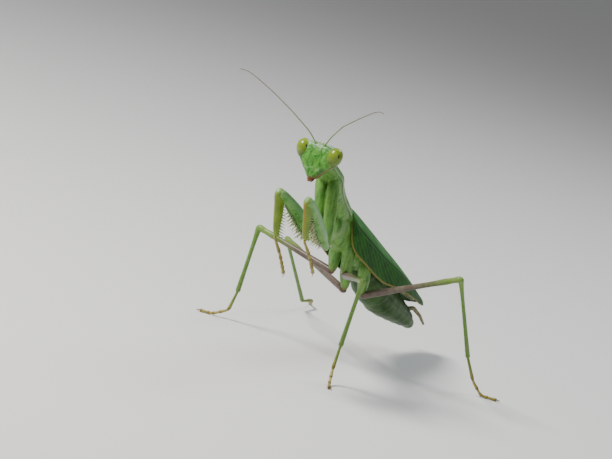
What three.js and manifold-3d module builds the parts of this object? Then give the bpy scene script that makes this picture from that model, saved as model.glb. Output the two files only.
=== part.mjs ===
// Praying mantis, an adult female standing at rest with her fore legs raised, at life size.
// Millimetres, +Z up. She faces -Y, her left side is +X, and the floor is z = 0.
// The origin lies on the floor under the middle of her bounding box.
import * as THREE from "three";
import { mergeVertices } from "three/addons/utils/BufferGeometryUtils.js";
import Module from "manifold-3d";

const wasm = await Module();
wasm.setup();

// ---- Driving dimensions ----

const GAP = 0.25; // clearance that each solid keeps to its neighbour
const FLOOR = 0;

const PRONOTUM_LENGTH = 17;
const THORAX_LENGTH = 12.2;
const ABDOMEN_END = 37.4; // measured back from the shoulder, as the wings are
const WING_LENGTH = 37.2;
const HINDWING_LENGTH = 34;
const CERCUS_LENGTH = 4.6;
const SHEET = 0.5; // thickness of a wing in the solids
const ANTENNA_RADIUS = 0.26;
const TARSUS_RADIUS = 0.33;

// Lengths of the leg parts, from joint to joint.
const LENGTHS = {
  fore: { coxa: 9.4, femur: 12.8, tibia: 7, tarsus: 5.9 },
  mid: { coxa: 4.2, femur: 14.3, tibia: 11.8, basitarsus: 3.6, toes: 4.6 },
  hind: { coxa: 4.4, femur: 17.7, tibia: 18.7, basitarsus: 4.5, toes: 5.2 },
};

// Trunk frames hang from the rear edge of the pronotum. Their +Y runs back along the part.
const SHOULDER = [-2, -6.5, 24.5];
const PRONOTUM_TURN = { yaw: 4.9, pitch: -32.6, roll: -1.2 };
const THORAX_TURN = { yaw: -3.5, pitch: -30.9, roll: -8 };
const ABDOMEN_TURN = { yaw: -5.5, pitch: -26.6, roll: -5.5 };

// The head's frame is centred between the eyes.
const HEAD_AT = [-0.5, -23.75, 34];
const HEAD_TURN = { yaw: 1, pitch: 0, roll: -2 };

// Each leg's hip and the way its parts point: [heading, rise] in degrees, where heading 0 is
// straight ahead and 90 is to her left. The toes lie on the floor along their own heading.
const LEGS = {
  fore_right: {
    hip: [-1.7, -17.9, 29.4],
    coxa: [88, -73.9],
    femur: [-19.5, 32.8],
    tibia: [169.7, -74.9],
    tarsus: [146.5, -58],
  },
  fore_left: {
    hip: [0.5, -18.3, 29.4],
    coxa: [65, -75.2],
    femur: [-0.3, 36.2],
    tibia: [-174.8, -63.6],
    tarsus: [163, -51],
  },
  mid_right: {
    hip: [-2.05, -4.95, 18.3],
    coxa: [163, -81],
    femur: [-92.9, 8.6],
    tibia: [-146.8, -74.4],
    basitarsus: [-124.4, -71.4],
    toes: -63.2,
  },
  mid_left: {
    hip: [0.2, -5.15, 18.5],
    coxa: [163, -81],
    femur: [34.5, 10.8],
    tibia: [-151.1, -71],
    basitarsus: [-54, -87.9],
    toes: 27.2,
  },
  hind_right: {
    hip: [-1.55, -0.15, 15.2],
    coxa: [168, -75],
    femur: [-117.9, 8.5],
    tibia: [-177.1, -39.4],
    basitarsus: [-177.1, -4.2],
    toes: -150,
  },
  hind_left: {
    hip: [1.5, -0.25, 15.4],
    coxa: [168, -75],
    femur: [82.4, 28.1],
    tibia: [179.6, -46.8],
    basitarsus: [153.4, -56],
    toes: 115,
  },
};

// ---- Materials ----

const PAINT = {
  green: { color: 0x6aa04a, roughness: 0.45 },
  eye: { color: 0x9aa03a, roughness: 0.2 },
  wing: { color: 0x2f6a32, roughness: 0.4 },
  brown: { color: 0x7a4a2c, roughness: 0.5 },
  mauve: { color: 0x8f7a70, roughness: 0.5 },
  ochre: { color: 0xa09238, roughness: 0.5 },
};

// ---- Small tools ----

const vec = (x, y, z) => new THREE.Vector3(x, y, z);
const radians = THREE.MathUtils.degToRad;

// Unit vector for a heading and a rise in degrees.
function bearing([heading, rise]) {
  const h = radians(heading);
  const r = radians(rise);
  return vec(Math.sin(h) * Math.cos(r), -Math.cos(h) * Math.cos(r), Math.sin(r));
}

// Value at t of a profile given as rows [t, value, value...], smoothly joined.
function along(rows, t, column) {
  let i = 0;
  while (i < rows.length - 2 && t > rows[i + 1][0]) i += 1;
  const [a, b] = [rows[i], rows[i + 1]];
  const before = rows[Math.max(i - 1, 0)];
  const after = rows[Math.min(i + 2, rows.length - 1)];
  const span = b[0] - a[0];
  const f = THREE.MathUtils.clamp((t - a[0]) / span, 0, 1);
  const slopeA = ((b[column] - before[column]) / (b[0] - before[0])) * span;
  const slopeB = ((after[column] - a[column]) / (after[0] - a[0])) * span;
  const f2 = f * f;
  const f3 = f2 * f;
  return (
    (2 * f3 - 3 * f2 + 1) * a[column] +
    (f3 - 2 * f2 + f) * slopeA +
    (3 * f2 - 2 * f3) * b[column] +
    (f3 - f2) * slopeB
  );
}

// Buffer geometry from points and faces, turned so that its faces point out.
function solid(points, faces) {
  let volume = 0;
  for (let i = 0; i < faces.length; i += 3) {
    const [a, b, c] = [points[faces[i]], points[faces[i + 1]], points[faces[i + 2]]];
    volume += a.dot(vec(0, 0, 0).crossVectors(b, c));
  }
  const turned = volume < 0 ? [...faces].reverse() : faces;
  const geometry = new THREE.BufferGeometry().setFromPoints(points);
  geometry.setIndex(turned);
  return geometry;
}

// Closed skin over a row of rings, with a fan over each end.
function loft(rings) {
  const count = rings[0].length;
  const points = rings.flat();
  const faces = [];
  for (let i = 0; i + 1 < rings.length; i += 1) {
    for (let j = 0; j < count; j += 1) {
      const a = i * count + j;
      const b = i * count + ((j + 1) % count);
      faces.push(a, b, a + count, b, b + count, a + count);
    }
  }
  const last = points.length - count;
  const middle = (ring) => ring.reduce((sum, p) => sum.add(p), vec(0, 0, 0)).divideScalar(count);
  points.push(middle(rings[0]), middle(rings.at(-1)));
  for (let j = 0; j < count; j += 1) {
    const k = (j + 1) % count;
    faces.push(points.length - 2, k, j, points.length - 1, last + j, last + k);
  }
  return solid(points, faces);
}

// Ring in a plane across y: an oval that reaches up, down and wide by its own amounts.
function oval(y, centre, up, down, wide, sides, square = 1) {
  const ring = [];
  for (let j = 0; j < sides; j += 1) {
    const a = (2 * Math.PI * j) / sides;
    const c = Math.sign(Math.cos(a)) * Math.abs(Math.cos(a)) ** square;
    const s = Math.sign(Math.sin(a)) * Math.abs(Math.sin(a)) ** square;
    ring.push(vec(wide * c, y, centre + (s > 0 ? up : down) * s));
  }
  return ring;
}

// Limb along +Y from a profile of rows [y, up, down, wide].
function limb(rows, { steps = 8, sides = 10 } = {}) {
  const from = rows[0][0];
  const to = rows.at(-1)[0];
  const stops = new Set(rows.map((row) => row[0]));
  for (let i = 0; i <= steps; i += 1) stops.add(from + ((to - from) * i) / steps);
  const sorted = [...stops].sort((a, b) => a - b);
  const spaced = sorted.filter((y, i) => i === 0 || y - sorted[i - 1] > 0.05 * ((to - from) / steps));
  return loft(
    spaced.map((y) => oval(y, 0, along(rows, y, 1), along(rows, y, 2), along(rows, y, 3), sides)),
  );
}

// Round tube through points, whose radius is a function of the fraction of its length.
function tube(points, radius, { steps = 12, sides = 8, flatten = -Infinity } = {}) {
  const curve = new THREE.CatmullRomCurve3(points, false, "centripetal");
  const frames = curve.computeFrenetFrames(steps, false);
  const rings = [];
  for (let i = 0; i <= steps; i += 1) {
    const centre = curve.getPointAt(i / steps);
    const r = radius(i / steps);
    const ring = [];
    for (let j = 0; j < sides; j += 1) {
      const a = (2 * Math.PI * j) / sides;
      const p = centre.clone();
      p.addScaledVector(frames.normals[i], r * Math.cos(a));
      p.addScaledVector(frames.binormals[i], r * Math.sin(a));
      p.z = Math.max(p.z, flatten);
      ring.push(p);
    }
    rings.push(ring);
  }
  return loft(rings);
}

// Sheet of even thickness under a grid of points: rows run along it, columns across it.
function sheet(grid, thickness) {
  const rows = grid.length;
  const columns = grid[0].length;
  const at = (i, j) => grid[THREE.MathUtils.clamp(i, 0, rows - 1)][THREE.MathUtils.clamp(j, 0, columns - 1)];
  const outer = grid.flat();
  const inner = [];
  for (let i = 0; i < rows; i += 1) {
    for (let j = 0; j < columns; j += 1) {
      const lengthwise = at(i + 1, j).clone().sub(at(i - 1, j));
      const across = at(i, j + 1).clone().sub(at(i, j - 1));
      const normal = lengthwise.cross(across).normalize();
      inner.push(at(i, j).clone().addScaledVector(normal, thickness));
    }
  }
  const points = [...outer, ...inner];
  const under = outer.length;
  const faces = [];
  for (let i = 0; i + 1 < rows; i += 1) {
    for (let j = 0; j + 1 < columns; j += 1) {
      const a = i * columns + j;
      const [b, c, d] = [a + 1, a + columns, a + columns + 1];
      faces.push(a, b, c, b, d, c);
      faces.push(a + under, c + under, b + under, b + under, c + under, d + under);
    }
  }
  const rim = [];
  for (let j = 0; j < columns; j += 1) rim.push(j);
  for (let i = 1; i < rows; i += 1) rim.push(i * columns + columns - 1);
  for (let j = columns - 2; j >= 0; j -= 1) rim.push((rows - 1) * columns + j);
  for (let i = rows - 2; i > 0; i -= 1) rim.push(i * columns);
  rim.forEach((a, k) => {
    const b = rim[(k + 1) % rim.length];
    faces.push(b, a, a + under, b, a + under, b + under);
  });
  return solid(points, faces);
}

// Ellipsoid, turned about Y by lean degrees.
function ellipsoid(centre, radii, lean, detail = [12, 9]) {
  const geometry = new THREE.SphereGeometry(1, ...detail);
  geometry.rotateX(Math.PI / 2);
  geometry.scale(...radii);
  geometry.rotateY(radians(lean));
  geometry.translate(...centre);
  return geometry;
}

// ---- Joining and cutting ----

function toManifold(geometry) {
  const plain = geometry.clone();
  plain.deleteAttribute("normal");
  plain.deleteAttribute("uv");
  const merged = mergeVertices(plain, 1e-4);
  const vertProperties = merged.attributes.position.array;
  const triVerts = new Uint32Array(merged.index.array);
  return new wasm.Manifold(new wasm.Mesh({ numProp: 3, vertProperties, triVerts }));
}

function fromManifold(body) {
  const { numProp, vertProperties, triVerts } = body.getMesh();
  const geometry = new THREE.BufferGeometry();
  const positions = new Float32Array((vertProperties.length / numProp) * 3);
  for (let i = 0; i * 3 < positions.length; i += 1) {
    positions.set(vertProperties.subarray(i * numProp, i * numProp + 3), i * 3);
  }
  geometry.setAttribute("position", new THREE.BufferAttribute(positions, 3));
  geometry.setIndex([...triVerts]);
  return geometry;
}

function join(first, ...others) {
  return fromManifold(others.reduce((body, g) => body.add(toManifold(g)), toManifold(first)));
}

function cut(first, ...others) {
  return fromManifold(others.reduce((body, g) => body.subtract(toManifold(g)), toManifold(first)));
}

// ---- Scene graph ----

const mantis = new THREE.Group();

function piece(parent, name, geometry, paint) {
  const shown = geometry.index ? geometry.toNonIndexed() : geometry.clone();
  shown.computeVertexNormals();
  const mesh = new THREE.Mesh(shown, new THREE.MeshStandardMaterial({ ...PAINT[paint], metalness: 0 }));
  mesh.name = name;
  parent.add(mesh);
  return mesh;
}

// Group at a place, turned by yaw, pitch and roll in degrees.
function frame([x, y, z], { yaw, pitch, roll }) {
  const group = new THREE.Group();
  group.position.set(x, y, z);
  group.rotation.set(radians(pitch), radians(roll), radians(yaw), "ZXY");
  mantis.add(group);
  return group;
}

// Mirror images of a shape: side is +1 for her left and -1 for her right.
const SIDES = { left: 1, right: -1 };

// ---- Head ----

const EYE_CENTRE = [2.42, -0.2, -0.22];
const EYE_RADII = [1.15, 1.25, 1.52];
const EYE_LEAN = 17;

// Rows [z, half width, front, back] down the head capsule, from the vertex to the clypeus.
const HEAD_ROWS = [
  [1.24, 1.2, 0.3, 0.4],
  [1.0, 2.2, 0.75, 0.95],
  [0.3, 2.85, 1.12, 1.15],
  [-0.4, 2.95, 1.3, 1.15],
  [-1.0, 2.85, 1.42, 1.05],
  [-1.6, 2.5, 1.52, 0.9],
  [-2.5, 1.8, 1.6, 0.55],
  [-3.2, 1.2, 1.62, 0.15],
  [-3.75, 0.7, 1.5, -0.3],
];

function headCapsule() {
  const rings = HEAD_ROWS.map(([z, wide, front, back]) => {
    const ring = oval(0, 0, back, front, wide, 18, 0.85);
    return ring.map((p) => vec(p.x, p.z, z));
  });
  const sockets = Object.values(SIDES).map((side) => eye(side, GAP * 0.6));
  return cut(loft(rings), ...sockets);
}

function eye(side, swell = 0) {
  const centre = [side * EYE_CENTRE[0], EYE_CENTRE[1], EYE_CENTRE[2]];
  return ellipsoid(centre, EYE_RADII.map((r) => r + swell), side * EYE_LEAN);
}

// Labrum, mandibles and the folded palps in one wedge under the clypeus.
function mouthparts() {
  const rows = [
    [-3.98, 0.85, 1.45, -0.3],
    [-4.3, 0.65, 1.4, -0.35],
    [-4.65, 0.25, 1.15, -0.6],
  ];
  return loft(rows.map(([z, wide, front, back]) => oval(0, 0, back, front, wide, 10).map((p) => vec(p.x, p.z, z))));
}

const ANTENNA_ROOT = [0.75, -1.75, 0.45];
const ANTENNA_BENDS = [
  [1.75, -2.4, 2.6],
  [4.1, -3.9, 4.9],
  [6.7, -5.4, 6.75],
  [9.2, -7, 8.35],
  [10.5, -7.8, 9],
  [11.4, -8.4, 9],
];

function antenna(side) {
  const path = [ANTENNA_ROOT, ...ANTENNA_BENDS].map(([x, y, z]) => vec(side * x, y, z));
  return tube(path, (t) => ANTENNA_RADIUS * (t < 0.08 ? 1.3 : 1), { steps: 14, sides: 6 });
}

const head = frame(HEAD_AT, HEAD_TURN);
piece(head, "head", headCapsule(), "green");
piece(head, "mouthparts", mouthparts(), "brown");
for (const [name, side] of Object.entries(SIDES)) {
  piece(head, `eye_${name}`, eye(side), "eye");
  piece(head, `antenna_${name}`, antenna(side), "green");
}

// ---- Prothorax and neck ----

// Rows [y, up, down, half width]: the pronotum with its swelling over the fore hips.
const PRONOTUM_ROWS = [
  [-PRONOTUM_LENGTH, 0.25, 0.6, 0.9],
  [-PRONOTUM_LENGTH + 0.6, 0.75, 1.2, 1.6],
  [-14.6, 1.0, 1.35, 1.95],
  [-12, 1.05, 1.2, 2.5],
  [-9.4, 1.0, 1.4, 2.05],
  [-5.5, 0.95, 1.6, 1.8],
  [-1.6, 0.95, 1.75, 2.0],
  [-0.4, 0.8, 1.6, 1.95],
  [-0.1, 0.55, 1.2, 1.5],
];
const PRONOTUM_CENTRE = -1;

function prothoraxBody() {
  const rings = [];
  for (let i = 0; i <= 14; i += 1) {
    const y = THREE.MathUtils.lerp(-PRONOTUM_LENGTH, -0.1, i / 14);
    const [up, down, wide] = [1, 2, 3].map((column) => along(PRONOTUM_ROWS, y, column));
    rings.push(oval(y, PRONOTUM_CENTRE, up, down, wide, 14, 0.9));
  }
  return loft(rings);
}

const prothorax = frame(SHOULDER, PRONOTUM_TURN);
piece(prothorax, "prothorax", prothoraxBody(), "green");

function neckTube() {
  const root = vec(0, -PRONOTUM_LENGTH - GAP, PRONOTUM_CENTRE);
  const crown = vec(0, -PRONOTUM_LENGTH - 0.85, PRONOTUM_CENTRE + 0.2);
  return tube([root, crown], () => 0.75, { steps: 3, sides: 12 });
}

piece(prothorax, "neck", neckTube(), "green");

// ---- Thorax ----

// Rows [y, top, bottom, half width] of the middle and hind thorax.
const THORAX_ROWS = [
  [-1.7, -3.35, -4.1, 0.7],
  [-0.9, -3.25, -5.1, 1.2],
  [0.4, -2.5, -5.9, 1.6],
  [1.6, -1.1, -6.2, 1.9],
  [3, -0.7, -5.9, 2.0],
  [5, -0.5, -4.9, 2.05],
  [8, -0.3, -4.6, 2.15],
  [10.6, -0.3, -4.5, 2.15],
  [THORAX_LENGTH, -0.8, -4.2, 1.8],
];

// Length of trunk from rows of [y, top, bottom, half width].
function trunk(rows, steps, sides) {
  const rings = [];
  for (let i = 0; i <= steps; i += 1) {
    const y = THREE.MathUtils.lerp(rows[0][0], rows.at(-1)[0], i / steps);
    const [top, bottom, wide] = [1, 2, 3].map((column) => along(rows, y, column));
    const centre = (top + bottom) / 2;
    rings.push(oval(y, centre, top - centre, centre - bottom, wide, sides));
  }
  return loft(rings);
}

const thorax = frame(SHOULDER, THORAX_TURN);
piece(thorax, "thorax", trunk(THORAX_ROWS, 12, 16), "green");

// ---- Abdomen and cerci ----

// Rows [y, top, bottom, half width] under the wings.
const ABDOMEN_ROWS = [
  [12.5, -1.6, -5.2, 1.9],
  [15, -1.95, -6.9, 2.5],
  [19, -2.4, -7.8, 2.85],
  [23, -2.5, -7.8, 2.85],
  [27, -2.5, -7.1, 2.6],
  [31, -2.5, -6.2, 2.1],
  [34.5, -2.9, -5.3, 1.5],
  [ABDOMEN_END, -3.5, -4.5, 0.6],
];

const abdomen = frame(SHOULDER, ABDOMEN_TURN);
piece(abdomen, "abdomen", trunk(ABDOMEN_ROWS, 14, 16), "green");

function cercus(side) {
  const root = vec(side * 1.1, ABDOMEN_END - 4, -2.2);
  const tip = root.clone().add(vec(side * 0.1, 1, -0.12).setLength(CERCUS_LENGTH));
  const bend = root.clone().lerp(tip, 0.5).add(vec(side * 0.25, 0, 0.1));
  return tube([root, bend, tip], (t) => THREE.MathUtils.lerp(0.36, 0.26, t), { steps: 6, sides: 8 });
}

for (const [name, side] of Object.entries(SIDES)) {
  piece(abdomen, `cercus_${name}`, cercus(side), "ochre");
}

// ---- Wings ----

// Rows [y, width factor, depth factor] from the wing's root to its tip.
const TEGMEN_ROWS = [
  [0.35, 0.72, 0.2],
  [1.2, 0.8, 0.58],
  [2.6, 0.88, 0.82],
  [5, 0.94, 0.92],
  [10, 1, 1],
  [15, 1, 1],
  [19, 1, 0.82],
  [23, 0.97, 0.66],
  [28, 0.84, 0.47],
  [32, 0.62, 0.34],
  [35.5, 0.42, 0.16],
  [WING_LENGTH, 0.3, 0.06],
];

// Half section of the folded fore wing: [out, down] from the middle of the back to the costal edge.
const TEGMEN_SECTION = [
  [0.3, 0],
  [1.2, 0.05],
  [2.1, 0.45],
  [2.75, 1.8],
  [3.2, 3.6],
  [3.6, 5.7],
];
const TEGMEN_TOP = 0.3;
const SEAM = 0.3; // least distance of a wing's inner edge from the middle of the back

// Rows [y, width factor, depth factor] of the hind wing, folded like a fan under the fore wing.
const HINDWING_ROWS = [
  [12.9, 0.85, 0.6],
  [16, 1, 0.9],
  [20, 1, 1],
  [26, 0.9, 0.8],
  [31, 0.6, 0.5],
  [HINDWING_LENGTH, 0.3, 0.2],
];
const HINDWING_SECTION = [
  [0.2, 0],
  [1.1, 0.05],
  [1.8, 0.5],
  [2.15, 1.3],
];
const HINDWING_TOP = -0.55;

function wing(side, rows, section, top, steps) {
  const grid = [];
  for (let i = 0; i <= steps; i += 1) {
    const y = THREE.MathUtils.lerp(rows[0][0], rows.at(-1)[0], i / steps);
    const wide = along(rows, y, 1);
    const deep = along(rows, y, 2);
    const line = section.map(([out, down]) => vec(side * Math.max(out * wide, SEAM), y, top - down * deep));
    grid.push(side > 0 ? line : line.reverse());
  }
  return sheet(grid, SHEET);
}

for (const [name, side] of Object.entries(SIDES)) {
  piece(abdomen, `tegmen_${name}`, wing(side, TEGMEN_ROWS, TEGMEN_SECTION, TEGMEN_TOP, 17), "wing");
  piece(abdomen, `hindwing_${name}`, wing(side, HINDWING_ROWS, HINDWING_SECTION, HINDWING_TOP, 10), "wing");
}

// ---- Legs ----

// Group at a joint whose +Y runs along the limb and whose +Z is as near to upward as it can be.
function joint(at, direction, upward) {
  const group = new THREE.Group();
  const x = direction.clone().cross(upward).normalize();
  const z = x.clone().cross(direction);
  group.quaternion.setFromRotationMatrix(new THREE.Matrix4().makeBasis(x, direction, z));
  group.position.copy(at);
  mantis.add(group);
  return group;
}

// Spine of a raptorial leg, pointing down from the underside of a limb.
function spine(x, y, z, length, tilt) {
  const cone = new THREE.ConeGeometry(0.18, length, 4);
  cone.rotateX(Math.PI);
  cone.translate(0, -length / 2, 0);
  cone.rotateX(Math.PI / 2 + radians(tilt));
  cone.translate(x, y, z);
  return cone;
}

// Fore coxa, rows [y, up, down, wide].
function foreCoxa(length) {
  const rows = [
    [0.7, 0.35, 0.45, 0.45],
    [1.7, 0.85, 1.05, 0.85],
    [length * 0.35, 1.0, 1.15, 0.92],
    [length * 0.7, 0.75, 0.9, 0.78],
    [length - 1.3, 0.6, 0.65, 0.58],
    [length - 0.5, 0.16, 0.18, 0.18],
  ];
  return limb(rows, { steps: 6, sides: 12 });
}

function foreFemur(length) {
  const rows = [
    [0.5, 0.15, 0.15, 0.2],
    [1.3, 0.45, 0.5, 0.5],
    [2.5, 0.75, 0.95, 0.62],
    [length * 0.4, 1.05, 1.5, 0.8],
    [length * 0.68, 1.05, 1.1, 0.72],
    [length - 2, 0.95, 0.2, 0.6],
    [length - 1, 0.8, -0.08, 0.52],
    [length - 0.45, 0.45, -0.2, 0.3],
  ];
  const spines = [];
  for (const side of [1, -1]) {
    for (let k = 0; k < 5; k += 1) {
      const y = THREE.MathUtils.lerp(length * 0.22, length * 0.6, k / 4);
      spines.push(spine(side * 0.4, y, -along(rows, y, 2) + 0.35, k % 2 ? 1 : 1.35, 12));
    }
  }
  return join(limb(rows, { steps: 8, sides: 12 }), ...spines);
}

// Fore tibia: +Z is the side that closes on the femur, where the spines and the end hook are.
function foreTibia(length) {
  const rows = [
    [0.6, -0.16, 0.5, 0.3],
    [1.5, -0.05, 0.85, 0.48],
    [length * 0.5, 0.3, 0.75, 0.5],
    [length - 1, 0.4, 0.35, 0.45],
    [length - 0.45, 0.35, 0.05, 0.3],
  ];
  const hook = [
    vec(0, length - 1.3, 0.2),
    vec(0, length - 0.4, 0.45),
    vec(0, length + 0.25, 0.8),
    vec(0, length + 0.35, 1.5),
  ];
  const spines = [];
  for (const side of [1, -1]) {
    for (let k = 0; k < 5; k += 1) {
      const y = THREE.MathUtils.lerp(length * 0.36, length * 0.88, k / 4);
      const thorn = spine(side * 0.28, y, 0, 0.6 + 0.14 * k, -25);
      thorn.rotateY(Math.PI);
      spines.push(thorn);
    }
  }
  const claw = tube(hook, (t) => THREE.MathUtils.lerp(0.36, 0.08, t), { steps: 6, sides: 8 });
  return join(limb(rows, { steps: 6, sides: 10 }), claw, ...spines);
}

function foreTarsus(length) {
  const path = [vec(0, 0, 0), vec(0, length * 0.5, 0.15), vec(0, length, 0)];
  return tube(path, (t) => (t < 0.05 ? 0.2 : 0.28), { steps: 8, sides: 8 });
}

function buildForeLeg(name) {
  const leg = LEGS[name];
  const size = LENGTHS.fore;
  const hip = vec(...leg.hip);
  const coxaWay = bearing(leg.coxa);
  const femurWay = bearing(leg.femur);
  const tibiaWay = bearing(leg.tibia);
  const elbow = hip.clone().addScaledVector(coxaWay, size.coxa);
  const knee = elbow.clone().addScaledVector(femurWay, size.femur);
  // The femur's back looks away from the tibia, and the tibia's spiny side looks at the femur.
  const femurBack = tibiaWay.clone().projectOnPlane(femurWay).negate();
  const tibiaInside = femurWay.clone().negate().projectOnPlane(tibiaWay);
  piece(joint(hip, coxaWay, femurWay.clone().negate()), `coxa_${name}`, foreCoxa(size.coxa), "green");
  piece(joint(elbow, femurWay, femurBack), `femur_${name}`, foreFemur(size.femur), "green");
  const shin = joint(knee, tibiaWay, tibiaInside);
  piece(shin, `tibia_${name}`, foreTibia(size.tibia), "green");
  shin.updateMatrix();
  const ankle = vec(0, size.tibia + 0.1, -0.25).applyMatrix4(shin.matrix);
  piece(joint(ankle, bearing(leg.tarsus), vec(0, 0, 1)), `tarsus_${name}`, foreTarsus(size.tarsus), "ochre");
}

// Walking legs taper to a pinch at each joint, and stop short of it.
const PINCH = 0.16;
const SHORT = 0.42;

function walkingCoxa(length) {
  const rows = [
    [0.95, 0.4, 0.4, 0.4],
    [length * 0.52, 0.95, 0.95, 0.9],
    [length - 1.2, 0.7, 0.7, 0.7],
    [length - SHORT, PINCH, PINCH, PINCH],
  ];
  return limb(rows, { steps: 5, sides: 12 });
}

function walkingFemur(length, thick) {
  const rows = [
    [SHORT, PINCH, PINCH, PINCH],
    [1.6, thick, thick, thick * 0.9],
    [length * 0.3, thick * 1.05, thick * 1.05, thick * 0.95],
    [length * 0.8, thick * 0.8, thick * 0.8, thick * 0.75],
    [length - 1, thick * 0.95, thick * 0.95, thick * 0.8],
    [length - SHORT, PINCH, PINCH, PINCH],
  ];
  return limb(rows, { steps: 7, sides: 8 });
}

function walkingTibia(length, thick) {
  const rows = [
    [SHORT, PINCH, PINCH, PINCH],
    [1.4, thick, thick, thick],
    [length * 0.5, thick * 0.85, thick * 0.85, thick * 0.85],
    [length - 0.8, thick * 0.95, thick * 0.95, thick * 0.95],
    [length - 0.15, PINCH, PINCH, PINCH],
  ];
  return limb(rows, { steps: 7, sides: 8 });
}

const LEG_THICKNESS = { mid: { femur: 0.54, tibia: 0.4 }, hind: { femur: 0.54, tibia: 0.38 } };
const SOLE = 0.27; // height of the toes' middle line over the floor

// Basitarsus and toes: down from the ankle, then out along the floor, flattened where they rest.
function walkingTarsus(ankle, leg, size) {
  const heel = ankle.clone().addScaledVector(bearing(leg.basitarsus), size.basitarsus);
  const drop = heel.z - (FLOOR + SOLE);
  const slope = 2.6;
  const reach = Math.sqrt(slope * slope - drop * drop);
  const ahead = bearing([leg.toes, 0]);
  const ball = heel.clone().addScaledVector(ahead, reach);
  ball.z = FLOOR + SOLE;
  const tip = ball.clone().addScaledVector(ahead, size.toes - slope);
  const start = ankle.clone().addScaledVector(bearing(leg.basitarsus), 0.15);
  const path = [start, heel, ball, tip].map((p) => p.clone().sub(ankle));
  return tube(path, (t) => TARSUS_RADIUS * (t < 0.04 ? 0.6 : 1), { steps: 12, sides: 8, flatten: FLOOR - ankle.z });
}

function buildWalkingLeg(name, kind) {
  const leg = LEGS[name];
  const size = LENGTHS[kind];
  const thick = LEG_THICKNESS[kind];
  const hip = vec(...leg.hip);
  const ways = [leg.coxa, leg.femur, leg.tibia].map(bearing);
  const trochanter = hip.clone().addScaledVector(ways[0], size.coxa);
  const knee = trochanter.clone().addScaledVector(ways[1], size.femur);
  const ankle = knee.clone().addScaledVector(ways[2], size.tibia);
  const upward = vec(0, 0, 1);
  piece(joint(hip, ways[0], vec(0, 1, 0)), `coxa_${name}`, walkingCoxa(size.coxa), "green");
  piece(joint(trochanter, ways[1], upward), `femur_${name}`, walkingFemur(size.femur, thick.femur), "mauve");
  piece(joint(knee, ways[2], upward), `tibia_${name}`, walkingTibia(size.tibia, thick.tibia), "green");
  const foot = new THREE.Group();
  foot.position.copy(ankle);
  mantis.add(foot);
  piece(foot, `tarsus_${name}`, walkingTarsus(ankle, leg, size), "ochre");
}

for (const side of Object.keys(SIDES)) {
  buildForeLeg(`fore_${side}`);
  buildWalkingLeg(`mid_${side}`, "mid");
  buildWalkingLeg(`hind_${side}`, "hind");
}

export default mantis;
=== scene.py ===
# Praying mantis, life size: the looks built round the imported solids.
# Lengths in the sections are millimetres, and each mesh is written in metres.
import math

import bmesh
import bpy
import numpy as np
from mathutils import Matrix, Vector, noise


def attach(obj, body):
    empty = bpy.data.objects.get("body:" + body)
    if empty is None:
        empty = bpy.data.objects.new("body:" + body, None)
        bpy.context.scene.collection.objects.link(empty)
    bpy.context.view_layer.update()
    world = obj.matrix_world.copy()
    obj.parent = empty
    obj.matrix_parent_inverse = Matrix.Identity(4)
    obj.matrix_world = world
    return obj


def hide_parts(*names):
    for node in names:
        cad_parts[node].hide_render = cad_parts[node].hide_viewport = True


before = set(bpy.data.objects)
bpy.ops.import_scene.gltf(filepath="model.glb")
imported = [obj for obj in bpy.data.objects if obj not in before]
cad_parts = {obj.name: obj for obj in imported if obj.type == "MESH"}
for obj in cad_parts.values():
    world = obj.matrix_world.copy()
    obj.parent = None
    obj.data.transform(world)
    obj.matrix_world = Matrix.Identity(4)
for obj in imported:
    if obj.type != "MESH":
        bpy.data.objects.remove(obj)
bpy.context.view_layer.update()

# ---- Camera, floor and light ----
# A long lens looks a little down at her from front left, turned as the ground she stood on sloped.
# She stands on a plain pale floor, under one large soft lamp from high on her right.

CAMERA_AZIMUTH = 24.23
CAMERA_ELEVATION = 10.42
CAMERA_ROLL = 16.35
CAMERA_TARGET = Vector((-22.84, 28.74, 12.08))
CAMERA_DISTANCE = 420
LENS = 148.24
METRE = 1000.0  # millimetres

around = math.radians(CAMERA_AZIMUTH)
above = math.radians(CAMERA_ELEVATION)
backward = Vector(
    (math.sin(around) * math.cos(above), -math.cos(around) * math.cos(above), math.sin(above))
)
sideways = Vector((math.cos(around), math.sin(around), 0))
upright = backward.cross(sideways)
roll = math.radians(CAMERA_ROLL)
camera_right = math.cos(roll) * sideways + math.sin(roll) * upright
camera_up = -math.sin(roll) * sideways + math.cos(roll) * upright
turn = Matrix((camera_right, camera_up, backward)).transposed()
camera_place = (CAMERA_TARGET + backward * CAMERA_DISTANCE) / METRE

camera_data = bpy.data.cameras.new("camera")
camera_data.lens = LENS
camera_data.sensor_width = 36
camera_data.clip_start = 0.005
camera_data.clip_end = 20
camera = bpy.data.objects.new("camera", camera_data)
camera.matrix_world = Matrix.Translation(camera_place) @ turn.to_4x4()
bpy.context.scene.collection.objects.link(camera)
bpy.context.scene.camera = camera

FLOOR_HALF = 3.0
floor_mesh = bpy.data.meshes.new("floor")
floor_corners = [(x * FLOOR_HALF, y * FLOOR_HALF, 0) for x, y in ((-1, -1), (1, -1), (1, 1), (-1, 1))]
floor_mesh.from_pydata(floor_corners, [], [(0, 1, 2, 3)])
floor = bpy.data.objects.new("floor", floor_mesh)
bpy.context.scene.collection.objects.link(floor)
floor_paint = bpy.data.materials.new("floor_paint")
floor_paint.use_nodes = True
floor_shader = floor_paint.node_tree.nodes["Principled BSDF"]
floor_shader.inputs["Base Color"].default_value = (0.74, 0.735, 0.72, 1)
floor_shader.inputs["Roughness"].default_value = 0.85
floor_mesh.materials.append(floor_paint)

world = bpy.data.worlds.new("world")
world.use_nodes = True
world.node_tree.nodes["Background"].inputs["Color"].default_value = (0.86, 0.88, 0.9, 1)
world.node_tree.nodes["Background"].inputs["Strength"].default_value = 0.26
bpy.context.scene.world = world

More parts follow.
